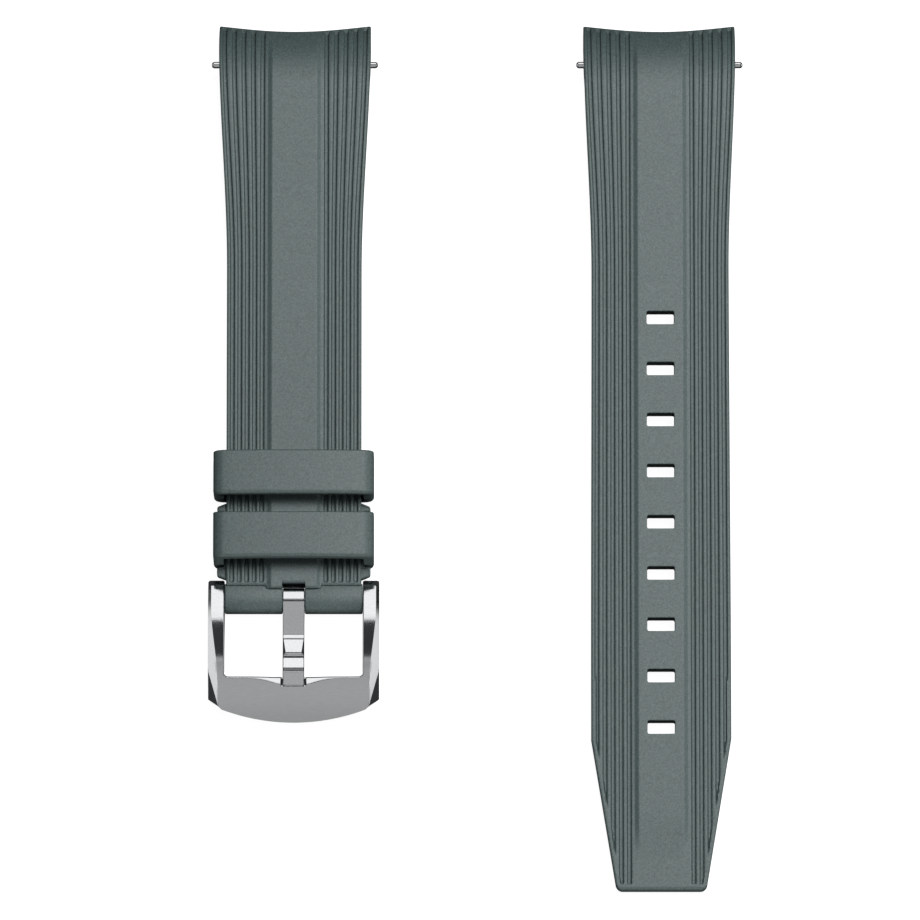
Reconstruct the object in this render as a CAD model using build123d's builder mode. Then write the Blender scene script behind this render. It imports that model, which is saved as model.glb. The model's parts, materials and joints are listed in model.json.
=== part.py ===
"""A two-piece rubber dive strap with a steel pin buckle, laid out flat.

Millimetres, +Z up, X across the strap, +Y towards the ends that join the watch.
The short half carries the buckle and both keepers, the long half has the slots.
Both halves lie on Z = 0, outer face up, and their lug ends bend down to the case.
Each half is drawn in its own straight frame: X across, Y along the strap, and Z
up from the underside. That frame is then tilted until the half rests by itself.
"""

import os
from math import asin, atan2, cos, degrees, hypot, pi, radians, sin, sqrt

from build123d import *

os.makedirs("parts", exist_ok=True)

# Widths of the rubber
lug_width = 21.9
short_width = 19.35
long_width = 19.7
barrel_width = 19.5

# Lengths along the straight frame, from the buckle bar or from the tail's tip
short_length = 74.7
long_length = 116.1
halves_apart = 52.6

# Thickness of the rubber, with its raised panel and its grooves
rib_height = 2.9
panel_height = 3.3
panel_half_width = 3.25
panel_flank = 0.55
edge_break = 0.25
groove_first = 4.6
groove_margin = 0.8
groove_width = 0.58
groove_floor_width = 0.28
groove_depth = 0.5
groove_count = 5
groove_rim = 0.45

# The lug end: a downward bend that ends in a hollow for the round case
bend_radius = 11.3
bend_angle = 67.0
bend_step_angle = 6.0
case_radius = 26.0
lug_swell = 1.1
swell_start_angle = 3.0
swell_end_angle = 22.0
panel_sink_start_angle = 20.0
panel_sink_end_angle = 48.0
ease_length = 35.0
ease_in_bend = 8.0
ease_steps = 7

# The bore and the sprung bar in each lug end
lug_bar_depth = 2.3
lug_bar_angle = 23.05
bar_bore = 1.9

# Slots and tail of the long half
slot_count = 9
slot_length = 1.95
slot_width = 3.95
slot_corner = 0.25
slot_pitch = 7.42
last_slot_from_tip = 22.8
taper_length = 21.2
tip_width = 12.9
tip_corner = 0.9
tip_land = 0.85
taper_land = 1.15
panel_fade_length = 7.0
panel_fade_end = 4.0
panel_trace = 0.03

# The hinge end of the short half
barrel_diameter = 3.7
barrel_height = 0.75
neck_height = 2.3
plateau_start = 2.05
panel_start = 1.6
short_groove_start = 2.45
tang_slot_width = 3.35
tang_slot_end = 2.36

# The ears that hold the fixed keeper
ear_width = 22.0
ear_height = 2.3
ear_start = 2.9
ear_end = 14.05
ear_slant = 0.57

# Both keepers
keeper_inner_width = 20.0
keeper_inner_height = 6.5
keeper_wall = 1.5
keeper_corner = 1.6
keeper_inner_corner = 0.5
keeper_edge = 0.6
fixed_keeper_start = 4.75
fixed_keeper_length = 8.0
fixed_keeper_flare = 0.75
floating_keeper_start = 14.6
floating_keeper_length = 6.4
floating_clearance = 0.25

# The buckle frame, from the bar towards the crossbar
window_side_play = 0.2
arm_width = 2.3
window_width = barrel_width + 2 * window_side_play
buckle_width = window_width + 2 * arm_width
window_length = 11.25
window_corner = 0.6
buckle_length = 17.65
crossbar_corner_length = 14.1
crossbar_diagonal_length = 15.9
crossbar_diagonal_inset = 2.0
arm_nose_length = 2.85
arm_nose_radius = 1.4
arm_underside = 1.85
arm_foot_length = 3.0
crown_radius = 24.0
crown_height = 3.0
crown_from_bar = 6.5
crossbar_thickness = 1.8
hole_clearance = 0.1
notch_length = 1.4
notch_width = 3.5
notch_corner = 0.35
notch_floor_height = 1.45
bevel_start_width = 0.3
bevel_end_width = 1.75
bevel_slope_share = 0.9
bevel_steps = 10
inner_bevel = 0.4

# The tang
tang_width = 3.1
tang_eye_diameter = 3.76
tang_length = 12.3
tang_seat_gap = 0.02
tang_top_shares = (
    (0.416, 1.17),
    (0.45, 1.02),
    (0.642, 0.96),
    (0.7, 1.1),
    (0.82, 1.42),
    (0.86, 1.4),
    (0.985, 1.24),
    (1.0, 1.16),
)
tang_under_shares = (
    (0.9, 0.78),
    (0.7, 0.5),
    (0.46, 0.4),
    (0.41, 0.6),
    (0.13, 0.42),
)

# The sprung bars
bar_diameter = 1.8
bar_wall = 0.27
lip_length = 0.4
tip_diameter = 0.95
tip_reach = 1.05
stem_diameter = 0.6
stem_clearance = 0.04
tip_travel = 1.1
flange_thickness = 0.3
flange_inset = 0.05
flange_gap = 0.05
head_length = 1.3
head_clearance = 0.05
shank_diameter = 0.45
shank_length = 1.4
wire_diameter = 0.18
spring_clearance = 0.06
spring_turns = 22
nose_share = 0.42

# One overrun serves all cuts
overrun = 5.0


def seat(base, origin=(0, 0, 0), x_dir=(1, 0, 0), z_dir=(0, 0, 1)):
    """A plane given in the straight frame of one half, placed on that half."""
    return Plane(base.location * Plane(origin=origin, x_dir=x_dir, z_dir=z_dir).location)


def save(part, name):
    part.label = name
    export_step(part, "parts/" + name + ".step")


def tilted(x, y, lift, tilt):
    """The frame of a half whose far end is raised by a tilt in degrees."""
    rise = radians(tilt)
    return Plane(origin=(x, y, lift), x_dir=(1, 0, 0), z_dir=(0, -sin(rise), cos(rise)))


# How the halves rest on their lowest points
centre_drop = bend_radius - panel_height
end_angle = radians(bend_angle)
toe_radius = bend_radius - panel_height - lug_swell
toe_forward = toe_radius * sin(end_angle)
toe_drop = centre_drop - toe_radius * cos(end_angle)
heel = fixed_keeper_start + keeper_edge
short_tilt = degrees(atan2(toe_drop - keeper_wall, short_length + toe_forward - heel))
long_tilt = degrees(atan2(toe_drop, long_length + toe_forward - edge_break))
short_lift = keeper_wall * cos(radians(short_tilt)) - heel * sin(radians(short_tilt))
long_lift = -edge_break * sin(radians(long_tilt))

# Where the halves stand, so that the whole lies about the origin
bar_forward = (bend_radius - lug_bar_depth) * sin(radians(lug_bar_angle))
bar_drop = centre_drop - (bend_radius - lug_bar_depth) * cos(radians(lug_bar_angle))
tip_span = lug_width / 2 + tip_reach
whole_width = halves_apart + buckle_width / 2 + tip_span
short_x = buckle_width / 2 - whole_width / 2
long_x = whole_width / 2 - tip_span
nose_forward = bend_radius * sin(end_angle)
nose_drop = centre_drop - bend_radius * cos(end_angle)
long_rise = radians(long_tilt)
long_north = (long_length + nose_forward) * cos(long_rise) + nose_drop * sin(long_rise)
long_south = -(rib_height - edge_break) * sin(long_rise)
long_y = -(long_north + long_south) / 2
bar_line_y = long_y + (long_length + bar_forward) * cos(long_rise) + bar_drop * sin(long_rise)
short_rise = radians(short_tilt)
short_bar_y = (short_length + bar_forward) * cos(short_rise) + bar_drop * sin(short_rise)
short_y = bar_line_y - short_bar_y

short_base = tilted(short_x, short_y, short_lift, short_tilt)
long_base = tilted(long_x, long_y, long_lift, long_tilt)

# The buckle hangs from its bar until the crossbar's underside meets Z = 0
bar_origin = short_base.location * Location((0, 0, barrel_height))
bar_rest_height = bar_origin.position.Z
crossbar_foot = (
    crown_height
    - crown_radius
    + sqrt(crown_radius**2 - (buckle_length - crown_from_bar) ** 2)
    - crossbar_thickness
)
foot_reach = hypot(buckle_length, crossbar_foot)
buckle_dip = degrees(asin(bar_rest_height / foot_reach) + atan2(crossbar_foot, buckle_length))
buckle_base = tilted(short_x, bar_origin.position.Y, bar_rest_height, buckle_dip)


def smooth(share):
    """An S-curve from 0 to 1."""
    held = min(max(share, 0), 1)
    return held * held * (3 - 2 * held)


def half_width_at(body_width, from_bend):
    """Half the strap's width at a length from the bend, negative in the bend."""
    share = smooth((from_bend + ease_in_bend) / ease_length)
    return (lug_width + (body_width - lug_width) * share) / 2


def underside_at(angle):
    """How far the lug end's underside swells below the plain strap's."""
    share = (angle - swell_start_angle) / (swell_end_angle - swell_start_angle)
    return -lug_swell * smooth(share)


def panel_top_at(angle):
    """The panel's height in the bend, where it sinks to the level of the ribs."""
    share = (angle - panel_sink_start_angle) / (panel_sink_end_angle - panel_sink_start_angle)
    return panel_height - (panel_height - rib_height - panel_trace) * smooth(share)


def flat_plane(base, y):
    return seat(base, origin=(0, y, 0), z_dir=(0, -1, 0))


def bend_plane(base, flat_end, angle):
    turn = radians(angle)
    origin = (0, flat_end + centre_drop * sin(turn), centre_drop * (cos(turn) - 1))
    return seat(base, origin=origin, z_dir=(0, -cos(turn), sin(turn)))


def lug_stations(base, flat_end, body_width, last_angle):
    """Planes through the eased and the bent stretch, each with its half width and angle."""
    found = []
    straight = ease_length - ease_in_bend
    for step in range(ease_steps + 1):
        from_bend = straight * (1 - step / ease_steps)
        plane = flat_plane(base, flat_end - from_bend)
        found.append((plane, half_width_at(body_width, from_bend), 0))
    steps = max(int(last_angle / bend_step_angle), 1)
    for step in range(1, steps + 1):
        angle = last_angle * step / steps
        half = half_width_at(body_width, -bend_radius * radians(angle))
        found.append((bend_plane(base, flat_end, angle), half, angle))
    return found


def body_points(half, underside, top):
    """Half of the rubber's section, from the underside to the panel, and its mirror."""
    right = [
        (half - edge_break, underside),
        (half, underside + edge_break),
        (half, rib_height - edge_break),
        (half - edge_break, rib_height),
        (panel_half_width + panel_flank, rib_height),
        (panel_half_width, top),
    ]
    return right + [(-x, z) for x, z in reversed(right)]


def body_section(plane, half, underside=0, top=panel_height):
    with BuildSketch(plane) as section:
        with BuildLine():
            Polyline(*body_points(half, underside, top), close=True)
        make_face()
    return section.sketch


def groove_centre(half, row):
    last = half - groove_margin
    return groove_first + (last - groove_first) * row / (groove_count - 1)


def groove_section(plane, centre):
    slope = (groove_width - groove_floor_width) / 2 / groove_depth
    high = rib_height + groove_depth
    half_top = groove_width / 2 + slope * groove_depth
    half_floor = groove_floor_width / 2
    low = rib_height - groove_depth
    with BuildSketch(plane) as section:
        with BuildLine():
            Polyline(
                (centre - half_top, high),
                (centre - half_floor, low),
                (centre + half_floor, low),
                (centre + half_top, high),
                close=True,
            )
        make_face()
    return section.sketch


def lug_end_angle(across):
    """Where the hollow end crosses the outer face, at a distance from the middle."""
    corner = sqrt(case_radius**2 - (lug_width / 2) ** 2)
    back = sqrt(case_radius**2 - across**2) - corner
    return bend_angle - degrees(asin(back / bend_radius))


def groove(base, flat_end, body_width, start, side, row):
    """One groove from its start, through the eased stretch, to its end in the bend."""
    last_centre = groove_centre(lug_width / 2, row)
    last_angle = lug_end_angle(last_centre) - degrees(groove_rim / bend_radius)
    sections = [groove_section(flat_plane(base, start), side * groove_centre(body_width / 2, row))]
    for plane, half, _ in lug_stations(base, flat_end, body_width, last_angle):
        sections.append(groove_section(plane, side * groove_centre(half, row)))
    loft(sections, ruled=True)


def lug_end(base, flat_end, body_width):
    """Sections of the rubber from the eased stretch to past the end of the bend."""
    past = bend_angle + bend_step_angle
    sections = []
    for plane, half, angle in lug_stations(base, flat_end, body_width, past):
        sections.append(body_section(plane, half, underside_at(angle), panel_top_at(angle)))
    return sections


def case_hollow(base, flat_end):
    """The round hollow that meets the watch case, and the bore for the bar."""
    corner = sqrt(case_radius**2 - (lug_width / 2) ** 2)
    forward = flat_end + nose_forward + corner * cos(end_angle)
    height = -nose_drop - corner * sin(end_angle)
    outward = (0, sin(end_angle), cos(end_angle))
    with BuildSketch(seat(base, origin=(0, forward, height), z_dir=outward)) as hollow:
        Circle(case_radius)
    extrude(hollow.sketch, amount=bend_radius + overrun, both=True, mode=Mode.SUBTRACT)
    bore_origin = (0, flat_end + bar_forward, -bar_drop)
    with BuildSketch(seat(base, origin=bore_origin, x_dir=(0, 1, 0), z_dir=(1, 0, 0))) as bore:
        Circle(bar_bore / 2)
    extrude(bore.sketch, amount=lug_width, both=True, mode=Mode.SUBTRACT)


def slots():
    """The row of buckle slots, cut square through the tail."""
    middle = last_slot_from_tip + slot_pitch * (slot_count - 1) / 2
    with BuildSketch(seat(long_base, origin=(0, middle, -overrun))) as holes:
        with GridLocations(0, slot_pitch, 1, slot_count):
            RectangleRounded(slot_width, slot_length, slot_corner)
    extrude(holes.sketch, amount=panel_height + 2 * overrun, mode=Mode.SUBTRACT)


def tail_trim(side_land, end_land, corner):
    """Keeps what lies inside the tail's outline, drawn in by a land along its edges."""
    run = (long_width - tip_width) / 2 / taper_length
    body = long_width / 2 - side_land * hypot(1, run)
    wide = long_width / 2 + overrun
    wide_y = taper_length + (wide - body) / run
    tip = body - run * (taper_length - end_land)
    far = long_length + lug_width
    with BuildSketch(seat(long_base, origin=(0, 0, -overrun))) as outline:
        with BuildLine():
            Polyline((wide, wide_y), (wide, far), (-wide, far), (-wide, wide_y))
            FilletPolyline(
                (-wide, wide_y), (-tip, end_land), (tip, end_land), (wide, wide_y), radius=corner
            )
        make_face()
    extrude(outline.sketch, amount=panel_height + 2 * overrun, mode=Mode.INTERSECT)


def grooves(base, flat_end, body_width, start):
    for side in (-1, 1):
        for row in range(groove_count):
            groove(base, flat_end, body_width, start, side, row)


with BuildPart() as long_grooves:
    grooves(long_base, long_length, long_width, 0)
    tail_trim(taper_land, tip_land, groove_width / 2)

with BuildPart() as long_strap:
    half = long_width / 2
    fade_start = panel_fade_end + panel_fade_length
    faded = rib_height + panel_trace
    tail = [
        body_section(flat_plane(long_base, 0), half, top=faded),
        body_section(flat_plane(long_base, panel_fade_end), half, top=faded),
        body_section(flat_plane(long_base, fade_start), half),
    ]
    loft(tail + lug_end(long_base, long_length, long_width), ruled=True)
    tail_trim(0, 0, tip_corner)
    add(long_grooves.part, mode=Mode.SUBTRACT)
    slots()
    case_hollow(long_base, long_length)
save(long_strap.part, "long_strap")


def ears():
    """The wider ears each side of the fixed keeper, open where it sits."""
    inner = short_width / 2 - ear_slant
    outer = ear_width / 2
    notch = keeper_inner_width / 2
    notch_end = fixed_keeper_start + fixed_keeper_length
    with BuildSketch(seat(short_base, origin=(0, 0, keeper_inner_corner))) as both_ears:
        for side in (-1, 1):
            with BuildLine():
                Polyline(
                    (side * inner, ear_start),
                    (side * outer, ear_start + ear_slant),
                    (side * outer, fixed_keeper_start),
                    (side * notch, fixed_keeper_start),
                    (side * notch, notch_end),
                    (side * outer, notch_end),
                    (side * outer, ear_end - ear_slant),
                    (side * inner, ear_end),
                    close=True,
                )
            make_face()
    extrude(both_ears.sketch, amount=ear_height - keeper_inner_corner)


def barrel():
    """The round hinge end, its neck, its bore and the slot for the tang."""
    across = seat(short_base, origin=(0, 0, barrel_height), x_dir=(0, 1, 0), z_dir=(1, 0, 0))
    with BuildSketch(across) as round_end:
        Circle(barrel_diameter / 2)
    extrude(round_end.sketch, amount=barrel_width / 2, both=True)
    with BuildSketch(seat(short_base)) as neck:
        with Locations((0, plateau_start / 2)):
            Rectangle(barrel_width, plateau_start)
    extrude(neck.sketch, amount=neck_height)
    panel_points = [
        (-panel_half_width - panel_flank, rib_height),
        (-panel_half_width, panel_height),
        (panel_half_width, panel_height),
        (panel_half_width + panel_flank, rib_height),
        (panel_half_width + panel_flank, barrel_height),
        (-panel_half_width - panel_flank, barrel_height),
    ]
    with BuildSketch(flat_plane(short_base, plateau_start)) as panel_end:
        with BuildLine():
            Polyline(*panel_points, close=True)
        make_face()
    extrude(panel_end.sketch, amount=plateau_start - panel_start)


def barrel_cuts():
    across = seat(short_base, origin=(0, 0, barrel_height), x_dir=(0, 1, 0), z_dir=(1, 0, 0))
    with BuildSketch(across) as bore:
        Circle(bar_bore / 2)
    extrude(bore.sketch, amount=barrel_width, both=True, mode=Mode.SUBTRACT)
    with BuildSketch(seat(short_base, origin=(0, tang_slot_end, -overrun))) as gap:
        Rectangle(tang_slot_width, tang_slot_end + barrel_diameter, align=(Align.CENTER, Align.MAX))
    extrude(gap.sketch, amount=panel_height + 2 * overrun, mode=Mode.SUBTRACT)


with BuildPart() as short_grooves:
    grooves(short_base, short_length, short_width, short_groove_start)

with BuildPart() as short_strap:
    near_end = body_section(flat_plane(short_base, plateau_start), short_width / 2)
    loft([near_end] + lug_end(short_base, short_length, short_width), ruled=True)
    ears()
    barrel()
    add(short_grooves.part, mode=Mode.SUBTRACT)
    barrel_cuts()
    case_hollow(short_base, short_length)
save(short_strap.part, "short_strap")


def keeper_ring(start, length, underside):
    """A keeper's plain band, with its inner face's floor at a height."""
    height = keeper_inner_height + 2 * keeper_wall
    width = keeper_inner_width + 2 * keeper_wall
    middle = (0, start, underside + keeper_inner_height / 2)
    with BuildSketch(seat(short_base, origin=middle, z_dir=(0, -1, 0))) as band:
        RectangleRounded(width, height, keeper_corner)
        RectangleRounded(
            keeper_inner_width, keeper_inner_height, keeper_inner_corner, mode=Mode.SUBTRACT
        )
    extrude(band.sketch, amount=-length)


def keeper_edges(part):
    """The outer edges of a keeper's two ends."""
    ends = part.faces().sort_by(Axis(short_base.origin, short_base.y_dir))
    return ends[0].outer_wire().edges() + ends[-1].outer_wire().edges()


with BuildPart() as fixed_keeper:
    keeper_ring(fixed_keeper_start, fixed_keeper_length, 0)
    keeper_middle = fixed_keeper_start + fixed_keeper_length / 2
    keeper_side = seat(
        short_base, origin=(0, keeper_middle, -keeper_wall), x_dir=(0, 1, 0), z_dir=(1, 0, 0)
    )
    with BuildSketch(keeper_side):
        with BuildLine():
            keeper_top = keeper_inner_height + 2 * keeper_wall
            foot = fixed_keeper_length / 2
            head = foot - fixed_keeper_flare
            Polyline((-foot, 0), (foot, 0), (head, keeper_top), (-head, keeper_top), close=True)
        make_face()
    extrude(amount=keeper_inner_width, both=True, mode=Mode.INTERSECT)
    fillet(keeper_edges(fixed_keeper), keeper_edge)
save(fixed_keeper.part, "fixed_keeper")

with BuildPart() as floating_keeper:
    keeper_ring(floating_keeper_start, floating_keeper_length, -floating_clearance)
    fillet(keeper_edges(floating_keeper), keeper_edge)
save(floating_keeper.part, "floating_keeper")


# The buckle is drawn from above with the crossbar towards -Y, and from its side
# with the first coordinate running from the bar towards the crossbar.
buckle_side = seat(buckle_base, x_dir=(0, -1, 0), z_dir=(-1, 0, 0))


def crown_at(along):
    """The height of the frame's arched top above the bar."""
    return crown_height - crown_radius + sqrt(crown_radius**2 - (along - crown_from_bar) ** 2)


def frame_side():
    """The frame's side view: an arched top, deep arms and a thin crossbar."""
    nose = -arm_nose_length
    middle = (window_length + arm_foot_length) / 2
    with BuildSketch(buckle_side) as side_view:
        with BuildLine():
            top_start = (nose, crown_at(nose))
            top_end = (buckle_length, crown_at(buckle_length))
            top = (crown_from_bar, crown_height)
            ThreePointArc(top_start, top, top_end)
            foot = (buckle_length, crown_at(buckle_length) - crossbar_thickness)
            Line(top_end, foot)
            hollow = (window_length, crown_at(window_length) - crossbar_thickness)
            ThreePointArc(foot, hollow, (arm_foot_length, -arm_underside))
            Polyline((arm_foot_length, -arm_underside), (nose, -arm_underside), top_start)
        make_face()
        fillet(side_view.vertices().sort_by(Axis.X)[:2], arm_nose_radius)
    extrude(side_view.sketch, amount=buckle_width / 2, both=True)


def frame_outline():
    """The frame from above: parallel arms, clipped corners and a bowed crossbar."""
    wide = buckle_width / 2
    clipped = wide - crossbar_diagonal_inset
    with BuildSketch(seat(buckle_base, origin=(0, 0, -overrun))) as outline:
        with BuildLine():
            Polyline(
                (-clipped, -crossbar_diagonal_length),
                (-wide, -crossbar_corner_length),
                (-wide, arm_nose_length + overrun),
                (wide, arm_nose_length + overrun),
                (wide, -crossbar_corner_length),
                (clipped, -crossbar_diagonal_length),
            )
            ThreePointArc(
                (clipped, -crossbar_diagonal_length),
                (0, -buckle_length),
                (-clipped, -crossbar_diagonal_length),
            )
        make_face()
    extrude(outline.sketch, amount=crown_height + 2 * overrun, mode=Mode.INTERSECT)


def frame_window():
    """The window that the tail passes through, and the rest for the tang's tip."""
    half = window_width / 2
    far = arm_nose_length + overrun
    corner = window_corner
    with BuildSketch(seat(buckle_base, origin=(0, 0, -overrun))) as window:
        with BuildLine():
            Polyline((half, -window_length + overrun), (half, far), (-half, far))
            Line((-half, far), (-half, -window_length + overrun))
            FilletPolyline(
                (-half, -window_length + overrun),
                (-half, -window_length),
                (half, -window_length),
                (half, -window_length + overrun),
                radius=corner,
            )
        make_face()
    extrude(window.sketch, amount=crown_height + 2 * overrun, mode=Mode.SUBTRACT)
    rest_origin = (0, -window_length - notch_length, notch_floor_height)
    with BuildSketch(seat(buckle_base, origin=rest_origin)) as rest:
        RectangleRounded(
            notch_width, 2 * notch_length, notch_corner, align=(Align.CENTER, Align.MIN)
        )
    extrude(rest.sketch, amount=crown_height + overrun, mode=Mode.SUBTRACT)


def frame_holes():
    """The holes in both arms for the tips of the sprung bar."""
    with BuildSketch(buckle_side) as hole:
        Circle((tip_diameter + hole_clearance) / 2)
    extrude(hole.sketch, amount=buckle_width, both=True, mode=Mode.SUBTRACT)


def bevel_width_at(along):
    share = smooth((along + arm_nose_length) / (buckle_length + arm_nose_length))
    return bevel_start_width + (bevel_end_width - bevel_start_width) * share


def frame_bevels():
    """Bevels along the arms' outer edges, which widen towards the crossbar."""
    run = buckle_length + arm_nose_length + 2 * arm_nose_radius
    for side in (-1, 1):
        sections = []
        for step in range(bevel_steps + 1):
            along = -arm_nose_length - arm_nose_radius + run * step / bevel_steps
            width = bevel_width_at(along)
            drop = width * bevel_slope_share
            edge = buckle_width / 2
            origin = (0, -along, crown_at(along))
            with BuildSketch(seat(buckle_base, origin=origin, z_dir=(0, -1, 0))) as cut:
                with BuildLine():
                    Polyline(
                        (side * (edge - 2 * width), drop),
                        (side * (edge + width), drop),
                        (side * (edge + width), -2 * drop),
                        close=True,
                    )
                make_face()
            sections.append(cut.sketch)
        loft(sections, ruled=True, mode=Mode.SUBTRACT)


def inner_edge():
    """The thin polished bevel along the crossbar's inner edge."""
    high = crown_at(window_length)
    with BuildSketch(buckle_side) as cut:
        with BuildLine():
            Polyline(
                (window_length - inner_bevel, high + inner_bevel),
                (window_length + 2 * inner_bevel, high + inner_bevel),
                (window_length - inner_bevel, high - 2 * inner_bevel),
                close=True,
            )
        make_face()
    extrude(cut.sketch, amount=window_width / 2 - window_corner, both=True, mode=Mode.SUBTRACT)


with BuildPart() as buckle_frame:
    frame_side()
    frame_outline()
    frame_window()
    frame_holes()
    frame_bevels()
    inner_edge()
save(buckle_frame.part, "buckle_frame")

with BuildPart() as tang:
    with BuildSketch(buckle_side):
        with BuildLine():
            eye = tang_eye_diameter / 2
            floor = notch_floor_height + tang_seat_gap
            along_top = [(tang_length * s, eye * h) for s, h in tang_top_shares]
            along_under = [(tang_length * s, eye * h) for s, h in tang_under_shares]
            along_floor = [(tang_length, floor), (tang_length - notch_length, floor)]
            outline = [(0, 0), (0, eye)] + along_top + along_floor + along_under
            Polyline(*outline, close=True)
        make_face()
        Circle(eye)
        Circle(bar_bore / 2, mode=Mode.SUBTRACT)
    extrude(amount=tang_width / 2, both=True)
save(tang.part, "tang")


def biarc(start, start_way, end, end_way):
    """Two arcs that leave one point and reach another along given directions."""
    span = end - start
    across = span.dot(start_way + end_way)
    turn = 2 * (1 - start_way.dot(end_way))
    reach = (-across + sqrt(across**2 + turn * span.dot(span))) / turn
    middle = (start + end + (start_way - end_way) * reach) * 0.5
    first = TangentArc(start, middle, tangent=start_way)
    TangentArc(middle, end, tangent=first % 1)


def spring_wire(bar, radius, length):
    """A helix along the bar's axis, as a biarc for each half turn."""
    halves = 2 * spring_turns
    points = []
    ways = []
    for step in range(halves + 1):
        turn = pi * step
        x = length * (step / halves) - length / 2
        points.append(bar.from_local_coords(Vector(x, radius * cos(turn), radius * sin(turn))))
        climb = length / halves / pi
        way = Vector(climb, -radius * sin(turn), radius * cos(turn)).normalized()
        ways.append(bar.from_local_coords(way) - bar.origin)
    with BuildLine() as wire:
        for step in range(halves):
            biarc(points[step], ways[step], points[step + 1], ways[step + 1])
    return wire.line


def along_bar(bar, x, side):
    """A plane square to the bar, facing the end on the given side."""
    return Plane(bar.location * Plane((x, 0, 0), x_dir=(0, side, 0), z_dir=(side, 0, 0)).location)


def round_length(bar, side, start, end, diameter):
    """A round length of the bar's tip, from one distance to another."""
    with BuildSketch(along_bar(bar, side * start, side)) as disc:
        Circle(diameter / 2)
    extrude(disc.sketch, amount=end - start)


def sprung_bar(name, bar, span, reach):
    """A tube with a spring that pushes a flanged tip out of each end of its bore."""
    inner = bar_diameter - 2 * bar_wall
    flange_end = span / 2 - flange_inset
    flange_start = flange_end - flange_thickness
    half = flange_start - tip_travel - flange_gap
    with BuildPart() as tube:
        with BuildSketch(along_bar(bar, 0, 1)) as ring:
            Circle(bar_diameter / 2)
            Circle(inner / 2, mode=Mode.SUBTRACT)
        extrude(ring.sketch, amount=half, both=True)
        for side in (-1, 1):
            with BuildSketch(along_bar(bar, side * (half - lip_length), side)) as lip:
                Circle(bar_diameter / 2)
                Circle(stem_diameter / 2 + stem_clearance, mode=Mode.SUBTRACT)
            extrude(lip.sketch, amount=lip_length)
    save(tube.part, name + "_tube")
    head_end = half - lip_length
    head_start = head_end - head_length
    for side, word in ((-1, "left"), (1, "right")):
        with BuildPart() as tip:
            round_length(bar, side, head_start - shank_length, head_start, shank_diameter)
            round_length(bar, side, head_start, head_end, inner - 2 * head_clearance)
            round_length(bar, side, head_end, flange_start, stem_diameter)
            round_length(bar, side, flange_start, flange_end, bar_diameter)
            round_length(bar, side, flange_end, reach, tip_diameter)
            nose = tip.edges().filter_by(GeomType.CIRCLE).sort_by(Axis(bar.origin, (side, 0, 0)))[-1]
            fillet(nose, tip_diameter * nose_share)
        save(tip.part, name + "_" + word + "_tip")
    radius = (inner - wire_diameter) / 2 - head_clearance
    length = 2 * (head_start - spring_clearance) - wire_diameter
    wire = spring_wire(bar, radius, length)
    with BuildPart() as spring:
        with BuildSketch(Plane(origin=wire @ 0, z_dir=wire % 0)) as section:
            Circle(wire_diameter / 2)
        sweep(section.sketch, path=wire)
    save(spring.part, name + "_spring")
    pitch = length / spring_turns
    print(name, "spring pitch", round(pitch, 3), "gap", round(pitch - wire_diameter, 3))


short_bar = seat(short_base, origin=(0, short_length + bar_forward, -bar_drop))
long_bar = seat(long_base, origin=(0, long_length + bar_forward, -bar_drop))
buckle_bar = seat(short_base, origin=(0, 0, barrel_height))
sprung_bar("short_lug_bar", short_bar, lug_width, tip_span)
sprung_bar("long_lug_bar", long_bar, lug_width, tip_span)
sprung_bar("buckle_bar", buckle_bar, barrel_width, window_width / 2 + tip_reach)

print("tilt of the short half", round(short_tilt, 2), "of the long half", round(long_tilt, 2))
print("dip of the buckle", round(buckle_dip, 2))
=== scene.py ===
# %% [markdown]
# # A rubber dive strap, laid out flat
#
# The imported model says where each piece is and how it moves. This script gives the strap its
# looks: the rubber is drawn again as smooth surfaces worked out with numpy, the steel gets
# polished and brushed finishes, and a soft light from above shows both. Everything is in
# metres, and the sizes below are in millimetres until they are placed.

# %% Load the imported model
import json

import bmesh
import bpy
import numpy as np
from mathutils import Matrix, Vector


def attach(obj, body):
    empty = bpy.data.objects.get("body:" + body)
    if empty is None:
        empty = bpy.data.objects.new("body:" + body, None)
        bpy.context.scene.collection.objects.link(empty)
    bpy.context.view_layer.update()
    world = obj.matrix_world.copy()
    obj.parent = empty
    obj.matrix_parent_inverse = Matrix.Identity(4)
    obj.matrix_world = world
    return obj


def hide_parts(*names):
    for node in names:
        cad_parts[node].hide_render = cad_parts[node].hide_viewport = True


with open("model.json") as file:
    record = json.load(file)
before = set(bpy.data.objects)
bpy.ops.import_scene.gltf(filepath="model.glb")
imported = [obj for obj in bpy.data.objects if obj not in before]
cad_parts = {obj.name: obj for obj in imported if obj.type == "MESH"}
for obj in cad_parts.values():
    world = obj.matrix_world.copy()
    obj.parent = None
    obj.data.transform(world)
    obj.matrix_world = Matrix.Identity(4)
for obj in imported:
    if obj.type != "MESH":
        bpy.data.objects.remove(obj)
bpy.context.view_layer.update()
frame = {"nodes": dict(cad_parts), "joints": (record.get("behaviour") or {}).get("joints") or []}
MM = 0.001
joints = {joint["name"]: joint for joint in frame["joints"]}
print("pieces in the packed model:", len(frame["nodes"]))

# %% [markdown]
# ## From a straight strap to the laid-out one
#
# Each half is drawn straight, with x across it, a length along it and a height above its
# underside. That keeps every formula simple. Then one function lays it out: past the flat
# end a point turns about the bend's centre, and the whole half tilts a little, because it
# rests on its lowest points. The places of the bars come from the model's own joints.

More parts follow.
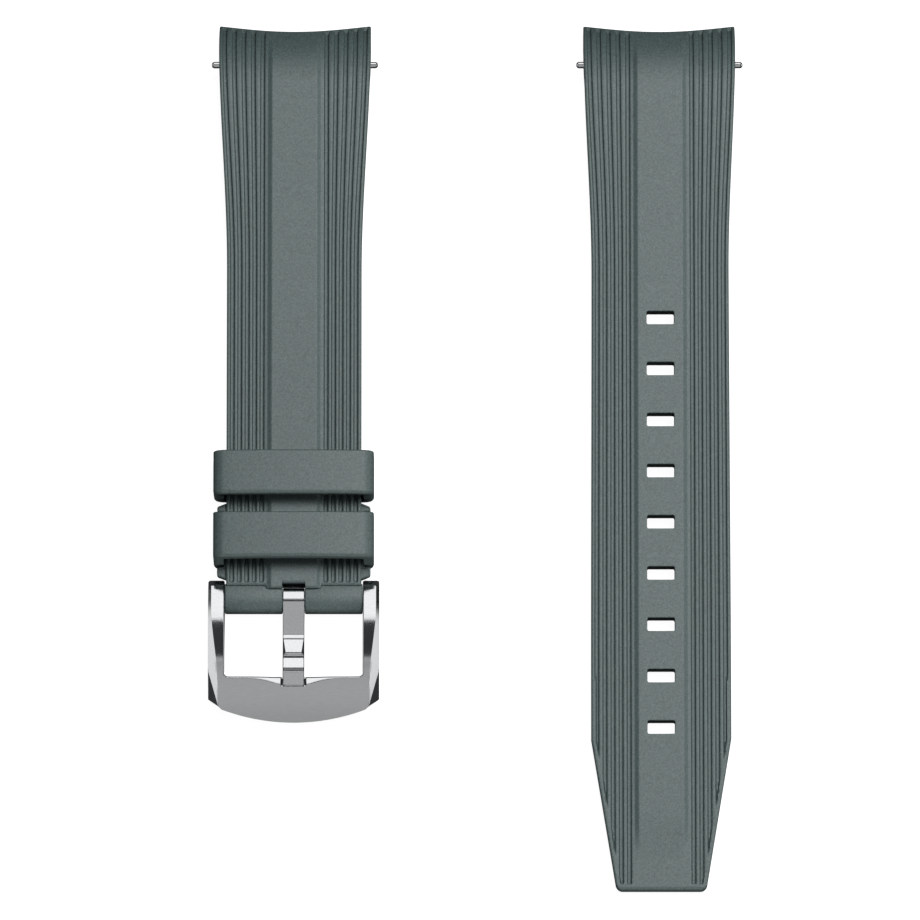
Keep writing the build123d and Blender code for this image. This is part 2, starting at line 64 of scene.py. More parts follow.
# %% Sizes of the strap
LUG_WIDTH, SHORT_WIDTH, LONG_WIDTH = 21.9, 19.35, 19.7
RIB, PANEL = 2.9, 3.3
BEND_RADIUS, BEND_ANGLE, CASE_RADIUS = 11.3, 67.0, 26.0
CENTRE_DROP = BEND_RADIUS - PANEL
SHORT_FLAT, SHORT_TILT, LONG_FLAT, LONG_TILT = 74.7, 2.8769, 116.1, 2.4851
TAIL_SWELL, SWELL_START, SWELL_RUN = 0.16, 95.0, 70.0
EASE_LENGTH, EASE_IN_BEND = 35.0, 8.0
LUG_SWELL, SWELL_FROM, SWELL_TO = 1.1, 3.0, 22.0
SINK_FROM, SINK_TO = 20.0, 48.0
BAR_DEPTH, BAR_ANGLE, BORE = 2.3, 23.05, 1.9
BAR_FORWARD = (BEND_RADIUS - BAR_DEPTH) * np.sin(np.radians(BAR_ANGLE))
BAR_DROP = CENTRE_DROP - (BEND_RADIUS - BAR_DEPTH) * np.cos(np.radians(BAR_ANGLE))
BARREL_HEIGHT = 0.75


def tilted_axes(tilt):
    """The half's own along and up directions, raised by a tilt in degrees."""
    rise = np.radians(tilt)
    return np.array([0, np.cos(rise), np.sin(rise)]), np.array([0, -np.sin(rise), np.cos(rise)])


def half_frame(bar_joint, tilt, width, flat_end, tail_swell, bar_along, bar_up):
    """A half's sizes, with its origin worked back from where one of its bars is."""
    along_axis, up_axis = tilted_axes(tilt)
    bar = np.array(joints[bar_joint]["pos_m"]) / MM
    origin = bar - along_axis * bar_along - up_axis * bar_up
    sizes = {"width": width, "flat_end": flat_end, "tail_swell": tail_swell}
    return {"origin": origin, "along": along_axis, "up": up_axis, **sizes}


SHORT = half_frame("buckle_bar_turn", SHORT_TILT, SHORT_WIDTH, SHORT_FLAT, 0, 0, BARREL_HEIGHT)
LONG = half_frame(
    "long_lug_bar_turn", LONG_TILT, LONG_WIDTH, LONG_FLAT, TAIL_SWELL,
    LONG_FLAT + BAR_FORWARD, -BAR_DROP,
)


def placed(half, x, along, height):
    """Straight strap to laid-out strap, in metres.

    The turn is the length past the flat end over the bend's outer radius. The distance from
    the bend's centre grows with the height, so the strap keeps its thickness in the bend."""
    turn = np.maximum(along - half["flat_end"], 0) / BEND_RADIUS
    reach = CENTRE_DROP + height
    forward = np.minimum(along, half["flat_end"]) + reach * np.sin(turn)
    lift = reach * np.cos(turn) - CENTRE_DROP
    points = half["origin"] + forward[..., None] * half["along"] + lift[..., None] * half["up"]
    points[..., 0] += x
    return points * MM


for name, half in (("short", SHORT), ("long", LONG)):
    print(name, "half starts at", np.round(half["origin"], 3))

# %% [markdown]
# ## Small helpers for grids
#
# A grid of points becomes a surface by joining each point to its neighbours with four-sided
# faces. Whole blocks of faces are built as arrays. Patches that meet along an edge are drawn
# with the same points there, so merging the doubles makes one closed skin.

# %% Grid helpers
SAME_POINT = 2e-7


def smooth(share):
    """An S-curve from 0 to 1: three times the square less twice the cube."""
    held = np.clip(share, 0, 1)
    return held * held * (3 - 2 * held)


def grid_faces(index, closed=False):
    """Four-sided faces between the neighbours of a grid of point numbers."""
    if closed:
        index = np.concatenate([index, index[:, :1]], axis=1)
    corners = (index[:-1, :-1], index[:-1, 1:], index[1:, 1:], index[1:, :-1])
    return np.stack(corners, -1).reshape(-1, 4)


def ring_faces(shape, ends="open"):
    """Faces between rings of the same number of points, numbered one after another. The
    first and the last ring stay open, are joined to each other, or are covered by a face."""
    index = np.arange(shape[0] * shape[1]).reshape(shape)
    rings = np.concatenate([index, index[:1]]) if ends == "joined" else index
    faces = grid_faces(rings, closed=True).tolist()
    return faces + index[[0, -1]].tolist() if ends == "covered" else faces


def across(values, sign=1):
    """The right half's values with the left half's before them."""
    return np.concatenate([sign * values[:0:-1], values])


def rounding(radius, steps):
    """A quarter circle as a pair of arrays: the distance in from the edge, and the drop."""
    angle = np.linspace(0, np.pi / 2, steps + 1)
    return radius * (1 - np.sin(angle)), radius * (1 - np.cos(angle))


def skin(name, points, faces, body, slot, nodes=(), sharp=50.0):
    """A piece from points and faces: doubles merged, normals turned outwards, and shaded
    smooth, apart from corners sharper than an angle in degrees."""
    mesh = bpy.data.meshes.new(name)
    mesh.from_pydata(np.reshape(points, (-1, 3)), [], [list(map(int, face)) for face in faces])
    work = bmesh.new()
    work.from_mesh(mesh)
    bmesh.ops.remove_doubles(work, verts=work.verts, dist=SAME_POINT)
    bmesh.ops.dissolve_degenerate(work, edges=work.edges, dist=SAME_POINT)
    bmesh.ops.recalc_face_normals(work, faces=work.faces)
    open_edges = sum(not edge.is_manifold for edge in work.edges)
    work.to_mesh(mesh)
    work.free()
    mesh.shade_smooth()
    mesh.set_sharp_from_angle(angle=np.radians(sharp))
    piece = bpy.data.objects.new(name, mesh)
    bpy.context.scene.collection.objects.link(piece)
    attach(piece, body)
    if nodes:
        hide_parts(*nodes)
    print(name, len(mesh.polygons), "faces,", open_edges, "open edges")
    return piece


# %% [markdown]
# ## One half's skin
#
# The moulded half is a long loop of points carried along the strap. The loop's columns stand
# closer where the shape turns: at the lips and floors of the five grooves each side, at the
# panel's flanks and around the outer edges. A column knows how far it follows the strap's
# widening, so the grooves fan out towards the lug end as the real ones do.

# %% Columns of the loop
GROOVE_FIRST, GROOVE_MARGIN, GROOVE_COUNT = 4.6, 0.8, 5
GROOVE_DEPTH, GROOVE_FLOOR, GROOVE_LIP = 0.5, 0.2, 0.37
GROOVE_OFFSETS = across(np.array([0, 0.19, 0.23, 0.27, 0.31, 0.35, 0.39]), -1)
FLANK_COLUMNS = [2.7, 3.08, 3.17, 3.26, 3.36, 3.48, 3.6, 3.7, 3.79, 3.88, 3.98]
SLOT_COLUMNS = np.array([0, 1.0, 1.7, 1.95, 2.2, *FLANK_COLUMNS])
TANG_COLUMNS = np.array([0, 0.8, 1.5, 1.64, 1.7, 1.8, 2.2, *FLANK_COLUMNS])
PANEL_FROM, PANEL_TO = 3.15, 3.92
EDGE_RADIUS = 0.28
WALL_SHARES = np.array([0.04, 0.18, 0.34, 0.5, 0.66, 0.82, 0.96])
FAR = 99.0


def right_columns(width, panel):
    """The columns from the middle to the right edge: place, share of the widening, distance
    from the nearest groove's middle, and drop of the rounded edge."""
    half = width / 2
    edge_in, edge_drop = rounding(EDGE_RADIUS, 5)
    rows = np.arange(GROOVE_COUNT) / (GROOVE_COUNT - 1)
    centres = GROOVE_FIRST + (half - GROOVE_MARGIN - GROOVE_FIRST) * rows
    in_grooves = (centres[:, None] + GROOVE_OFFSETS).ravel()
    count = len(GROOVE_OFFSETS)
    offsets = np.tile(GROOVE_OFFSETS, GROOVE_COUNT)
    place = np.concatenate([panel, in_grooves, half - edge_in])
    share = np.concatenate([0 * panel, np.repeat(rows, count), 1 + 0 * edge_in])
    offset = np.concatenate([FAR + 0 * panel, offsets, FAR + 0 * edge_in])
    drop = np.concatenate([0 * panel, 0 * in_grooves, edge_drop])
    return place, share, offset, drop


# %% [markdown]
# The rows of the loop follow the strap. They stand closer at both ends, around the slots and
# in the bend. The last rows lie on the round hollow that meets the watch case: at a distance
# x from the middle the hollow reaches back by the arc's depth there, so the rows curve too.

# %% Rows of the loop
END_ROUNDING, END_STEPS = 0.14, 3


def hollow_end(half, x, height):
    """Where the round hollow cuts the strap: the arc's depth at x turns the end back by the
    angle whose sine is that depth over the distance from the bend's centre."""
    depth = np.sqrt(CASE_RADIUS**2 - x**2) - np.sqrt(CASE_RADIUS**2 - (LUG_WIDTH / 2) ** 2)
    turn = np.radians(BEND_ANGLE) - np.arcsin(depth / (CENTRE_DROP + height))
    return half["flat_end"] + BEND_RADIUS * turn


def half_width(half, along):
    """Half the width: the body's, eased to the lug's with an S-curve. The long half grows a
    little wider again towards its tail, with another S-curve."""
    share = smooth((half["flat_end"] - along + EASE_IN_BEND) / EASE_LENGTH)
    swell = half["tail_swell"] * smooth((SWELL_START - along) / SWELL_RUN)
    return (LUG_WIDTH + (half["width"] - LUG_WIDTH) * share) / 2 + swell


def underside(half, along):
    """The underside's height: level, then swelling down in the bend with an S-curve."""
    angle = np.degrees((along - half["flat_end"]) / BEND_RADIUS)
    return -LUG_SWELL * smooth((angle - SWELL_FROM) / (SWELL_TO - SWELL_FROM))


BORE_AT = BEND_RADIUS * np.radians(BAR_ANGLE)
BORE_ROWS = BORE_AT + np.array([-1.55, -1.2, -0.85, -0.43, 0, 0.43, 0.85, 1.2, 1.55])
BEFORE_BORE, PAST_BORE = np.linspace(0.4, 2.6, 6), np.linspace(6.5, 12.0, 14)
BEND_ROWS = np.concatenate([BEFORE_BORE, BORE_ROWS, PAST_BORE])
LAST_ROWS = np.array([1.0, 0.85, 0.72, 0.66, 0.62, 0.58, 0.54, 0.5, 0.46, 0.42, 0.36, 0.28, 0.2])


def all_rows(half, start_rows, start_at, middle_rows, x_end, height):
    """The length along the strap for every row and column: rows counted from the start,
    plain rows, rows spread through the bend, and rows counted back from the hollow."""
    end = hollow_end(half, x_end, height)
    full = BEND_RADIUS * np.radians(BEND_ANGLE)
    last = np.concatenate([LAST_ROWS, rounding(END_ROUNDING, END_STEPS)[0]])
    share = (end - half["flat_end"] - last[0]) / (full - last[0])
    blocks = [
        start_at + start_rows[:, None],
        middle_rows[:, None] + 0 * start_at,
        half["flat_end"] + BEND_ROWS[:, None] * share,
        end - last[:, None],
    ]
    return np.concatenate(blocks), end


# %% [markdown]
# ## Heights over the loop
#
# The outer face is the sum of plain parts: the ribs' level, the raised panel with soft
# flanks, and the grooves, whose walls are S-curves between a floor and a lip. A groove ends
# where its depth fades out: round at the buckle's side, square at the lug end, and slanted
# along the tapered tail.

# %% Outer face
RIM, RIM_FADE, TAIL_FADE, GROOVE_STOP = 0.45, 0.14, 0.16, 0.2
PANEL_RISE_FROM, PANEL_RISE = 3.0, 8.0


def groove_wall(distance):
    """1 on a groove's floor and 0 outside its lips, with an S-curve for the wall."""
    return 1 - smooth((distance - GROOVE_FLOOR) / (GROOVE_LIP - GROOVE_FLOOR))


def outer_height(flat_end, x, along, offset, drop, to_end, groove_start, tail):
    """Ribs, plus the panel's soft step, less the grooves, less the rounded edges."""
    bend = np.degrees((along - flat_end) / BEND_RADIUS)
    fade = 1 - smooth((bend - SINK_FROM) / (SINK_TO - SINK_FROM))
    if tail is not None:
        fade = fade * smooth((along - PANEL_RISE_FROM) / PANEL_RISE)
    panel = (PANEL - RIB) * fade * (1 - smooth((np.abs(x) - PANEL_FROM) / (PANEL_TO - PANEL_FROM)))
    past = np.maximum(groove_start - along, 0)
    depth = GROOVE_DEPTH * groove_wall(np.hypot(offset, past)) * smooth((to_end - RIM) / RIM_FADE)
    if tail is not None:
        depth = depth * smooth((tail - np.abs(x)) / TAIL_FADE)
        depth = depth * smooth((along - GROOVE_STOP) / TAIL_FADE)
    return RIB + panel - depth - drop


# %% [markdown]
# The loop is the outer face, the right wall, the underside and the left wall. At the tail the
# edge's columns follow the narrowing outline, and the others are held inside it. Where an
# end's rounding meets an edge's, the edge takes most of the end's drop, so the corner is soft.

# %% Whole loop
TAIL_REACH, EDGE_TAKES = 30.0, 0.6


def loop_skin(
    half, panel, start_rows, start_drop, start_at, middle_rows, groove_start, outline=None, land=0
):
    """Arrays of x, length and height, row by row round the loop, and the count of the outer
    face's columns."""
    place, share, offset, drop = right_columns(half["width"], panel)
    x0, share, offset, drop = across(place, -1), across(share), across(offset), across(drop)
    x_end = x0 + np.sign(x0) * share * (LUG_WIDTH - half["width"]) / 2
    along, end = all_rows(half, start_rows, across(start_at), middle_rows, x_end, RIB)
    widening = half_width(half, along) - half["width"] / 2
    x = x0 + np.sign(x0) * share * widening
    tail = None
    if outline is not None:
        limit = outline(along)
        edge = half["width"] / 2 - np.abs(x0)
        is_edge = (share == 1) & (offset == FAR)
        held = np.where(is_edge, limit - edge, np.minimum(np.abs(x), limit - EDGE_RADIUS))
        x = np.where(along < TAIL_REACH, np.sign(x0) * held, x)
        tail = np.where(along < TAIL_REACH, limit - land, FAR)
    row_drop = np.zeros((len(along), 1))
    row_drop[: len(start_drop), 0] = start_drop
    end_drop = rounding(END_ROUNDING, END_STEPS)[1]
    row_drop[-len(end_drop):, 0] = end_drop
    row_drop = np.maximum(row_drop - EDGE_TAKES * drop, 0)
    top = outer_height(half["flat_end"], x, along, offset, drop, end - along, groove_start, tail)
    top = top - row_drop
    bottom = underside(half, along) + drop + row_drop
    wall = WALL_SHARES
    right_h = top[:, -1:] + (bottom[:, -1:] - top[:, -1:]) * wall
    right_s = along[:, -1:] + 0 * wall
    right_x = x[:, -1:] + 0 * wall
    return {
        "x": np.concatenate([x, right_x, x[:, ::-1], -right_x], 1),
        "along": np.concatenate([along, right_s, along[:, ::-1], right_s], 1),
        "height": np.concatenate([top, right_h, bottom[:, ::-1], right_h[:, ::-1]], 1),
        "columns": x.shape[1],
    }


# %% [markdown]
# ## Holes and ends
#
# A hole is cut by leaving out a block of the grid and joining the block's border to the
# hole's own outline with rings of faces. The slots go right through from the outer face to
# the underside. The bore for the sprung bar goes from one side wall to the other.

# %% Borders of a block
def border(first_row, last_row, first_column, last_column):
    """Row and column numbers around a block, in one turn."""
    rows = np.arange(first_row, last_row + 1)
    columns = np.arange(first_column, last_column + 1)
    out, back = rows[1:], rows[-2:0:-1]
    r = np.concatenate([0 * columns + first_row, out, 0 * columns[1:] + last_row, back])
    c = np.concatenate([columns, 0 * out + last_column, columns[-2::-1], 0 * back + first_column])
    return r, c


def end_cap(index, columns, row, wall):
    """Faces across an end of the loop, from the outer face's row to the underside's."""
    top = index[row, :columns]
    bottom = index[row, columns + wall: 2 * columns + wall][::-1]
    right = index[row, columns: columns + wall]
    left = index[row, 2 * columns + wall:]
    quads = np.stack([top[1:-2], top[2:-1], bottom[2:-1], bottom[1:-2]], -1).tolist()
    quads.append([top[-2], top[-1], *right, bottom[-1], bottom[-2]])
    quads.append([top[0], top[1], bottom[1], bottom[0], *left])
    return quads


# %% The slot's and the bore's rings
SLOT_WIDTH, SLOT_LENGTH, SLOT_CORNER = 3.95, 1.95, 0.25
SLOT_EDGE, BORE_EDGE, SLOT_REACH = 0.06, 0.1, 4


def slot_rings(x, along, middle, top, bottom):
    """Rings from a block's border down through a slot. The hole's outline is a rectangle's
    core, widened by the corner's radius towards each border point."""
    half_x, half_s = SLOT_WIDTH / 2 - SLOT_CORNER, SLOT_LENGTH / 2 - SLOT_CORNER
    core_x = np.clip(x, -half_x, half_x)
    core_s = np.clip(along - middle, -half_s, half_s)
    way = np.stack([x - core_x, along - middle - core_s])
    way = way / np.hypot(*way)
    out, drop = rounding(SLOT_EDGE, 4)
    radius = SLOT_CORNER + np.concatenate([out, out[::-1]])[:, None]
    height = np.concatenate([top - drop, bottom + drop[::-1]])[:, None] + 0 * x
    ring_x = core_x + radius * way[0]
    ring_s = middle + core_s + radius * way[1]
    first, last = (x, along, top + 0 * x), (x, along, bottom + 0 * x)
    layers = zip(first, (ring_x, ring_s, height), last)
    return [np.concatenate([above[None], rings, below[None]]) for above, rings, below in layers]


def bore_ring(half, x, along, height, radius, inset):
    """The bore's circle, one point towards each border point, seen square to the side wall."""
    turn = (along - half["flat_end"]) / BEND_RADIUS
    reach = CENTRE_DROP + height
    middle = np.radians(BAR_ANGLE)
    bar = (BEND_RADIUS - BAR_DEPTH) * np.array([np.sin(middle), np.cos(middle)])
    way = np.stack([reach * np.sin(turn) - bar[0], reach * np.cos(turn) - bar[1]])
    way = way / np.hypot(*way)
    spot = bar[:, None] + radius * way
    ring_s = half["flat_end"] + BEND_RADIUS * np.arctan2(spot[0], spot[1])
    return x - np.sign(x) * inset, ring_s, np.hypot(*spot) - CENTRE_DROP


def half_mesh(half, loop, slot_blocks=(), slot_middles=()):
    """Points and faces of a half: the loop without its blocks, the slots, the bore, the caps."""
    x, along, height, columns = loop["x"], loop["along"], loop["height"], loop["columns"]
    rows, around = x.shape
    wall = len(WALL_SHARES)
    index = np.arange(rows * around).reshape(rows, around)
    faces = grid_faces(index, closed=True).reshape(rows - 1, around, 4)
    keep = np.full((rows - 1, around), True)
    low = rows - len(LAST_ROWS) - END_STEPS - 1 - len(BEND_ROWS) + len(BEFORE_BORE)
    high = low + len(BORE_ROWS) - 1
    patches = []
    sides = (columns, columns + wall - 1), (2 * columns + wall, 2 * columns + 2 * wall - 1)
    tube = []
    for number, (first, last) in enumerate(sides):
        keep[low:high, first:last] = False
        r, c = border(low, high, first, last)
        if number:
            c = first + last - c
        edge = x[r, c], along[r, c], height[r, c]
        rings = [edge]
        for out, sink in zip(*rounding(BORE_EDGE, 3)):
            rings.append(bore_ring(half, *edge, BORE / 2 + out, sink))
        tube.append(rings)
    rings = tube[0] + tube[1][::-1]
    patches.append([np.stack([ring[axis] for ring in rings]) for axis in range(3)])
    middle_column = columns // 2
    for (first_row, last_row), middle in zip(slot_blocks, slot_middles):
        under = 2 * columns + wall - 1 - middle_column
        for column in (middle_column, under):
            keep[first_row:last_row, column - SLOT_REACH: column + SLOT_REACH] = False
        r, c = border(first_row, last_row, middle_column - SLOT_REACH, middle_column + SLOT_REACH)
        patches.append(slot_rings(x[r, c], along[r, c], middle, PANEL, 0.0))
    points = [placed(half, x, along, height).reshape(-1, 3)]
    all_faces = faces[keep].tolist()
    all_faces += end_cap(index, columns, 0, wall) + end_cap(index, columns, rows - 1, wall)
    count = rows * around
    for patch in patches:
        points.append(placed(half, *patch).reshape(-1, 3))
        all_faces += (np.array(ring_faces(patch[0].shape)) + count).tolist()
        count += patch[0].size
    return np.concatenate(points), all_faces


# %% [markdown]
# ## The long half
#
# The tail narrows over its last stretch. Columns that would stand outside the narrowed
# outline are held at it, so they fall on one another there and merge. The outermost grooves
# end at a plain land along the slanted sides. Nine slots sit along the middle, one pitch
# apart.

# %% Long half
TIP_AT, TAPER_TO, TIP_WIDTH, TIP_CORNER, TAPER_LAND = -0.62, 21.2, 12.8, 0.9, 0.6
SLOT_COUNT, SLOT_PITCH, LAST_SLOT = 9, 7.42, 22.8
SLOT_ROWS = np.array([-1.2, -0.95, -0.7, 0, 0.7, 0.95, 1.2])
TIP_ROUNDING, TIP_STEPS = 0.5, 6


def tail_outline(along):
    """Half the tail's width: the body's or a straight taper, whichever is less, less a
    quarter circle at each tip corner."""
    taper = TIP_WIDTH / 2 + taper_run * (along - TIP_AT)
    near = np.clip(TIP_CORNER - (along - TIP_AT), 0, TIP_CORNER)
    cut = TIP_CORNER - np.sqrt(TIP_CORNER**2 - near**2)
    return np.minimum(half_width(LONG, along), taper) - cut


taper_run = (half_width(LONG, TAPER_TO) - TIP_WIDTH / 2) / (TAPER_TO - TIP_AT)
tip_in, tip_drop = rounding(TIP_ROUNDING, TIP_STEPS)
groove_stop_rows = [0.6, 0.7, 0.82, 0.86, 0.9, 0.94, 0.98, 1.1, 1.3, 1.5, 1.7]
tip_rows = TIP_AT + np.concatenate([tip_in[::-1], groove_stop_rows])
tail_rows = np.concatenate([tip_rows, np.arange(1.3, 21.0, 0.24)])
middles = LAST_SLOT + SLOT_PITCH * np.arange(SLOT_COUNT)
slot_rows = (middles[:, None] + SLOT_ROWS).ravel()
body_rows = np.concatenate([[TAPER_TO], slot_rows, np.arange(86.0, 115.9, 1.4), [115.6, LONG_FLAT]])
side_land = TAPER_LAND * np.hypot(1, taper_run)
columns_right = len(right_columns(LONG_WIDTH, SLOT_COLUMNS)[0])
long_loop = loop_skin(
    LONG, SLOT_COLUMNS, tail_rows, tip_drop[::-1], np.zeros(columns_right), body_rows, -FAR,
    tail_outline, side_land,
)
first_rows = len(tail_rows) + 1 + len(SLOT_ROWS) * np.arange(SLOT_COUNT)
blocks = [(row, row + len(SLOT_ROWS) - 1) for row in first_rows.tolist()]
points, faces = half_mesh(LONG, long_loop, blocks, middles)
long_strap = skin("long_strap_rubber", points, faces, "long_half", "rubber", ["long_strap"])

# %% [markdown]
# ## The short half
#
# It has the same loop without slots. Its near end is stepped: the ribs stop first, the panel
# runs a little further, and the middle is cut back for the tang.

# %% Short half
PLATEAU_START, PANEL_START, TANG_SLOT_END, TANG_SLOT = 2.05, 1.6, 2.36, 1.675
NEAR_ROUNDING, NEAR_STEPS, GROOVES_FROM = 0.36, 6, 2.75
near_in, near_drop = rounding(NEAR_ROUNDING, NEAR_STEPS)
near_rows = np.concatenate([near_in[::-1], np.arange(0.42, 1.3, 0.08)])
place = right_columns(SHORT_WIDTH, TANG_COLUMNS)[0]
start_at = np.where(place < PANEL_TO, PANEL_START, PLATEAU_START)
start_at = np.where(place < TANG_SLOT, TANG_SLOT_END, start_at)
short_body = [[4.2, 6.0], np.arange(9.0, 47.0, 4.0), np.arange(48.0, 74.3, 1.4), [SHORT_FLAT]]
short_loop = loop_skin(
    SHORT, TANG_COLUMNS, near_rows, near_drop[::-1], start_at, np.concatenate(short_body),
    GROOVES_FROM,
)
points, faces = half_mesh(SHORT, short_loop)
short_strap = skin("short_strap_rubber", points, faces, "short_half", "rubber", ["short_strap"])

# %% [markdown]
# ## The hinge end
#
# The short half ends in a round eye each side of the tang, with a low neck behind it. Seen
# from its end, the eye is a shape around the bar's bore, so it is drawn by angle, as the
# distance from the bore's middle to the outline. Above, that is a flat ellipse whose crest
# lies behind the bar, where the photograph shows the highlight. In front and below it is a
# circle, and behind it is cut off straight at the neck's end. The surface runs along the
# outside, over one end face, back through the bore and over the other end face, which closes
# it like a ring.

# %% Hinge end
EYE_RADIUS, NECK_END, BARREL_WIDTH = 1.85, 2.35, 19.74
CREST_BACK, CREST_NORTH, EYE_GAP, EYE_EDGE, EYE_ANGLES = 0.55, 3.0, 1.59, 0.22, 96
BORE_LIP, TURNED_STEPS = 0.08, 4


def eye_reach(angle):
    """The outline's distance from the bore: above, two quarters of ellipses that share a
    crest behind the bar; in front and below, a circle; behind, the neck's box.

    Along a ray an ellipse's equation is a quadratic in the distance: its positive root."""
    forward, up = np.cos(angle), np.sin(angle)
    reach = np.full(angle.shape, EYE_RADIUS)
    for half_length, behind in ((EYE_RADIUS + CREST_BACK, False), (CREST_NORTH, True)):
        square = (forward / half_length) ** 2 + (up / EYE_RADIUS) ** 2
        middle = forward * CREST_BACK / half_length**2
        under_root = middle**2 + square * (1 - (CREST_BACK / half_length) ** 2)
        root = (middle + np.sqrt(under_root)) / square
        chosen = (up > 0) & ((root * forward > CREST_BACK) == behind)
        reach = np.where(chosen, root, reach)
    neck_end = NECK_END / np.maximum(forward, 1e-6)
    under = BARREL_HEIGHT / np.maximum(-up, 1e-6)
    box = np.where((forward > 0) & (up <= 0), np.minimum(neck_end, under), 0)
    return np.minimum(np.maximum(reach, box), np.where(forward > 0, neck_end, FAR))


def turned_ring(reach, bore, low, high, edge, angles):
    """A closed ring surface: reach(angle) outside, the bore inside, rounded outer edges."""
    turn = np.linspace(0, 2 * np.pi, angles, endpoint=False)
    out, drop = rounding(edge, TURNED_STEPS)
    bore_x = [high, high - BORE_LIP, low + BORE_LIP, low]
    bore_radius = np.array([bore + BORE_LIP, bore, bore, bore + BORE_LIP])
    outer = reach(turn) - np.concatenate([drop[::-1], drop])[:, None]
    radius = np.concatenate([outer, bore_radius[:, None] + 0 * outer[:4]])
    x = np.concatenate([low + out[::-1], high - out, bore_x])[:, None] + 0 * radius
    return x, radius * np.cos(turn), radius * np.sin(turn)


def joined(patches):
    """Several patches of points as one list, with ring faces for each of them."""
    points, faces, count = [], [], 0
    for patch, patch_faces in patches:
        points.append(np.reshape(patch, (-1, 3)))
        faces += [[int(corner) + count for corner in face] for face in patch_faces]
        count += len(points[-1])
    return np.concatenate(points), faces


eyes = []
for low, high in ((-BARREL_WIDTH / 2, -EYE_GAP), (EYE_GAP, BARREL_WIDTH / 2)):
    x, forward, up = turned_ring(eye_reach, BORE / 2, low, high, EYE_EDGE, EYE_ANGLES)
    eyes.append((placed(SHORT, x, forward, BARREL_HEIGHT + up), ring_faces(x.shape, "joined")))
hinge_end = skin("hinge_end_rubber", *joined(eyes), "short_half", "rubber", ["short_strap"])

# %% [markdown]
# ## The ears
#
# Beside the fixed keeper the strap is a little wider. These ears are flat plates with
# slanted ends, and a notch between them takes the keeper. A plate is its outline carried up
# in steps: each step is the outline drawn in by the edge's rounding. A last small plate is
# the thin web that closes the tang's slot below, behind the tang's eye.

# %% Ears
EAR_HALF, EAR_LOW, EAR_TOP, EAR_FROM, EAR_TO, EAR_SLANT = 11.0, 0.52, 2.3, 2.9, 14.05, 0.57
EAR_LIP, EAR_ROOT, EAR_ROOT_PAST, NOTCH_HALF = 0.9, 8.6, 0.35, 9.98
EAR_CORNER, EAR_EDGE = 0.3, 0.25
WEB_HALF, WEB_FROM, WEB_TO, WEB_CORNER = 1.72, 2.0, 2.7, 0.1
WEB_LOW, WEB_TOP, WEB_EDGE = 0.02, 0.42, 0.08
KEEPER_FROM, KEEPER_LENGTH = 4.75, 8.0
MOST_OF_EDGE = 0.45


def rounded_outline(corners, radius, steps=5):
    """A closed outline with its corners cut by arcs: each arc is a curve from one tangent
    point to the next whose middle weight is the corner, a quadratic Bezier."""
    corners = np.asarray(corners, float)
    before = np.roll(corners, 1, 0) - corners
    after = np.roll(corners, -1, 0) - corners
    back, ahead = np.hypot(*before.T)[:, None], np.hypot(*after.T)[:, None]
    reach = np.minimum(radius, MOST_OF_EDGE * np.minimum(back, ahead))
    start = corners + before / back * reach
    end = corners + after / ahead * reach
    share = np.linspace(0, 1, steps)[:, None, None]
    arcs = (1 - share) ** 2 * start + 2 * share * (1 - share) * corners + share**2 * end
    return arcs.transpose(1, 0, 2).reshape(-1, 2)


def drawn_in(outline, amount):
    """The outline moved inwards: each point moves along the mean of its two edges' normals,
    lengthened so that both edges move by the same amount."""
    following = np.roll(outline, -1, 0)
    ahead = following - outline
    behind = outline - np.roll(outline, 1, 0)
    ahead = ahead / np.maximum(np.hypot(*ahead.T), 1e-9)[:, None]
    behind = behind / np.maximum(np.hypot(*behind.T), 1e-9)[:, None]
    normal = np.stack([-(ahead + behind)[:, 1], (ahead + behind)[:, 0]], 1)
    length = np.maximum((normal**2).sum(1), 0.4)
    area = np.sum(outline[:, 0] * following[:, 1] - outline[:, 1] * following[:, 0])
    return outline + np.sign(area) * normal * (2 * amount / length)[:, None]


def plate(half, outline, low, high, edge):
    """A plate with rounded edges: rings up the side, then a flat face above and below."""
    out, drop = rounding(edge, 4)
    levels = np.concatenate([low + drop[::-1], high - drop])
    insets = np.concatenate([out[::-1], out])
    rings = np.stack([drawn_in(outline, inset) for inset in insets])
    x, along = rings[..., 0], rings[..., 1]
    return placed(half, x, along, levels[:, None] + 0 * x), ring_faces(x.shape, "covered")


ear_turn, keeper_end = EAR_HALF - EAR_SLANT - EAR_LIP, KEEPER_FROM + KEEPER_LENGTH
ear_corners = np.array([
    (EAR_ROOT, EAR_FROM - EAR_ROOT_PAST), (ear_turn, EAR_FROM), (EAR_HALF, EAR_FROM + EAR_SLANT),
    (EAR_HALF, KEEPER_FROM), (NOTCH_HALF, KEEPER_FROM),
    (NOTCH_HALF, keeper_end), (EAR_HALF, keeper_end),
    (EAR_HALF, EAR_TO - EAR_SLANT), (ear_turn, EAR_TO), (EAR_ROOT, EAR_TO + EAR_ROOT_PAST),
])
ear_plates = []
for side in (-1, 1):
    outline = rounded_outline(ear_corners * (side, 1), EAR_CORNER)
    ear_plates.append(plate(SHORT, outline, EAR_LOW, EAR_TOP, EAR_EDGE))
web_corners = [(-WEB_HALF, WEB_FROM), (WEB_HALF, WEB_FROM), (WEB_HALF, WEB_TO), (-WEB_HALF, WEB_TO)]
web_outline = rounded_outline(web_corners, WEB_CORNER)
ear_plates.append(plate(SHORT, web_outline, WEB_LOW, WEB_TOP, WEB_EDGE))
ears = skin("keeper_ears_rubber", *joined(ear_plates), "short_half", "rubber", ["short_strap"])

# %% [markdown]
# ## The keepers
#
# A keeper is a moulded loop with a plain inside. Outside, its edge towards the lug is crisp,
# and the one towards the buckle is softly rounded. Its section is a round-cornered frame
# whose top falls a little towards the sides. The surface goes round the frame one way and
# round the wall's thickness the other way. The fixed keeper narrows upwards, as its two ends
# lean in.

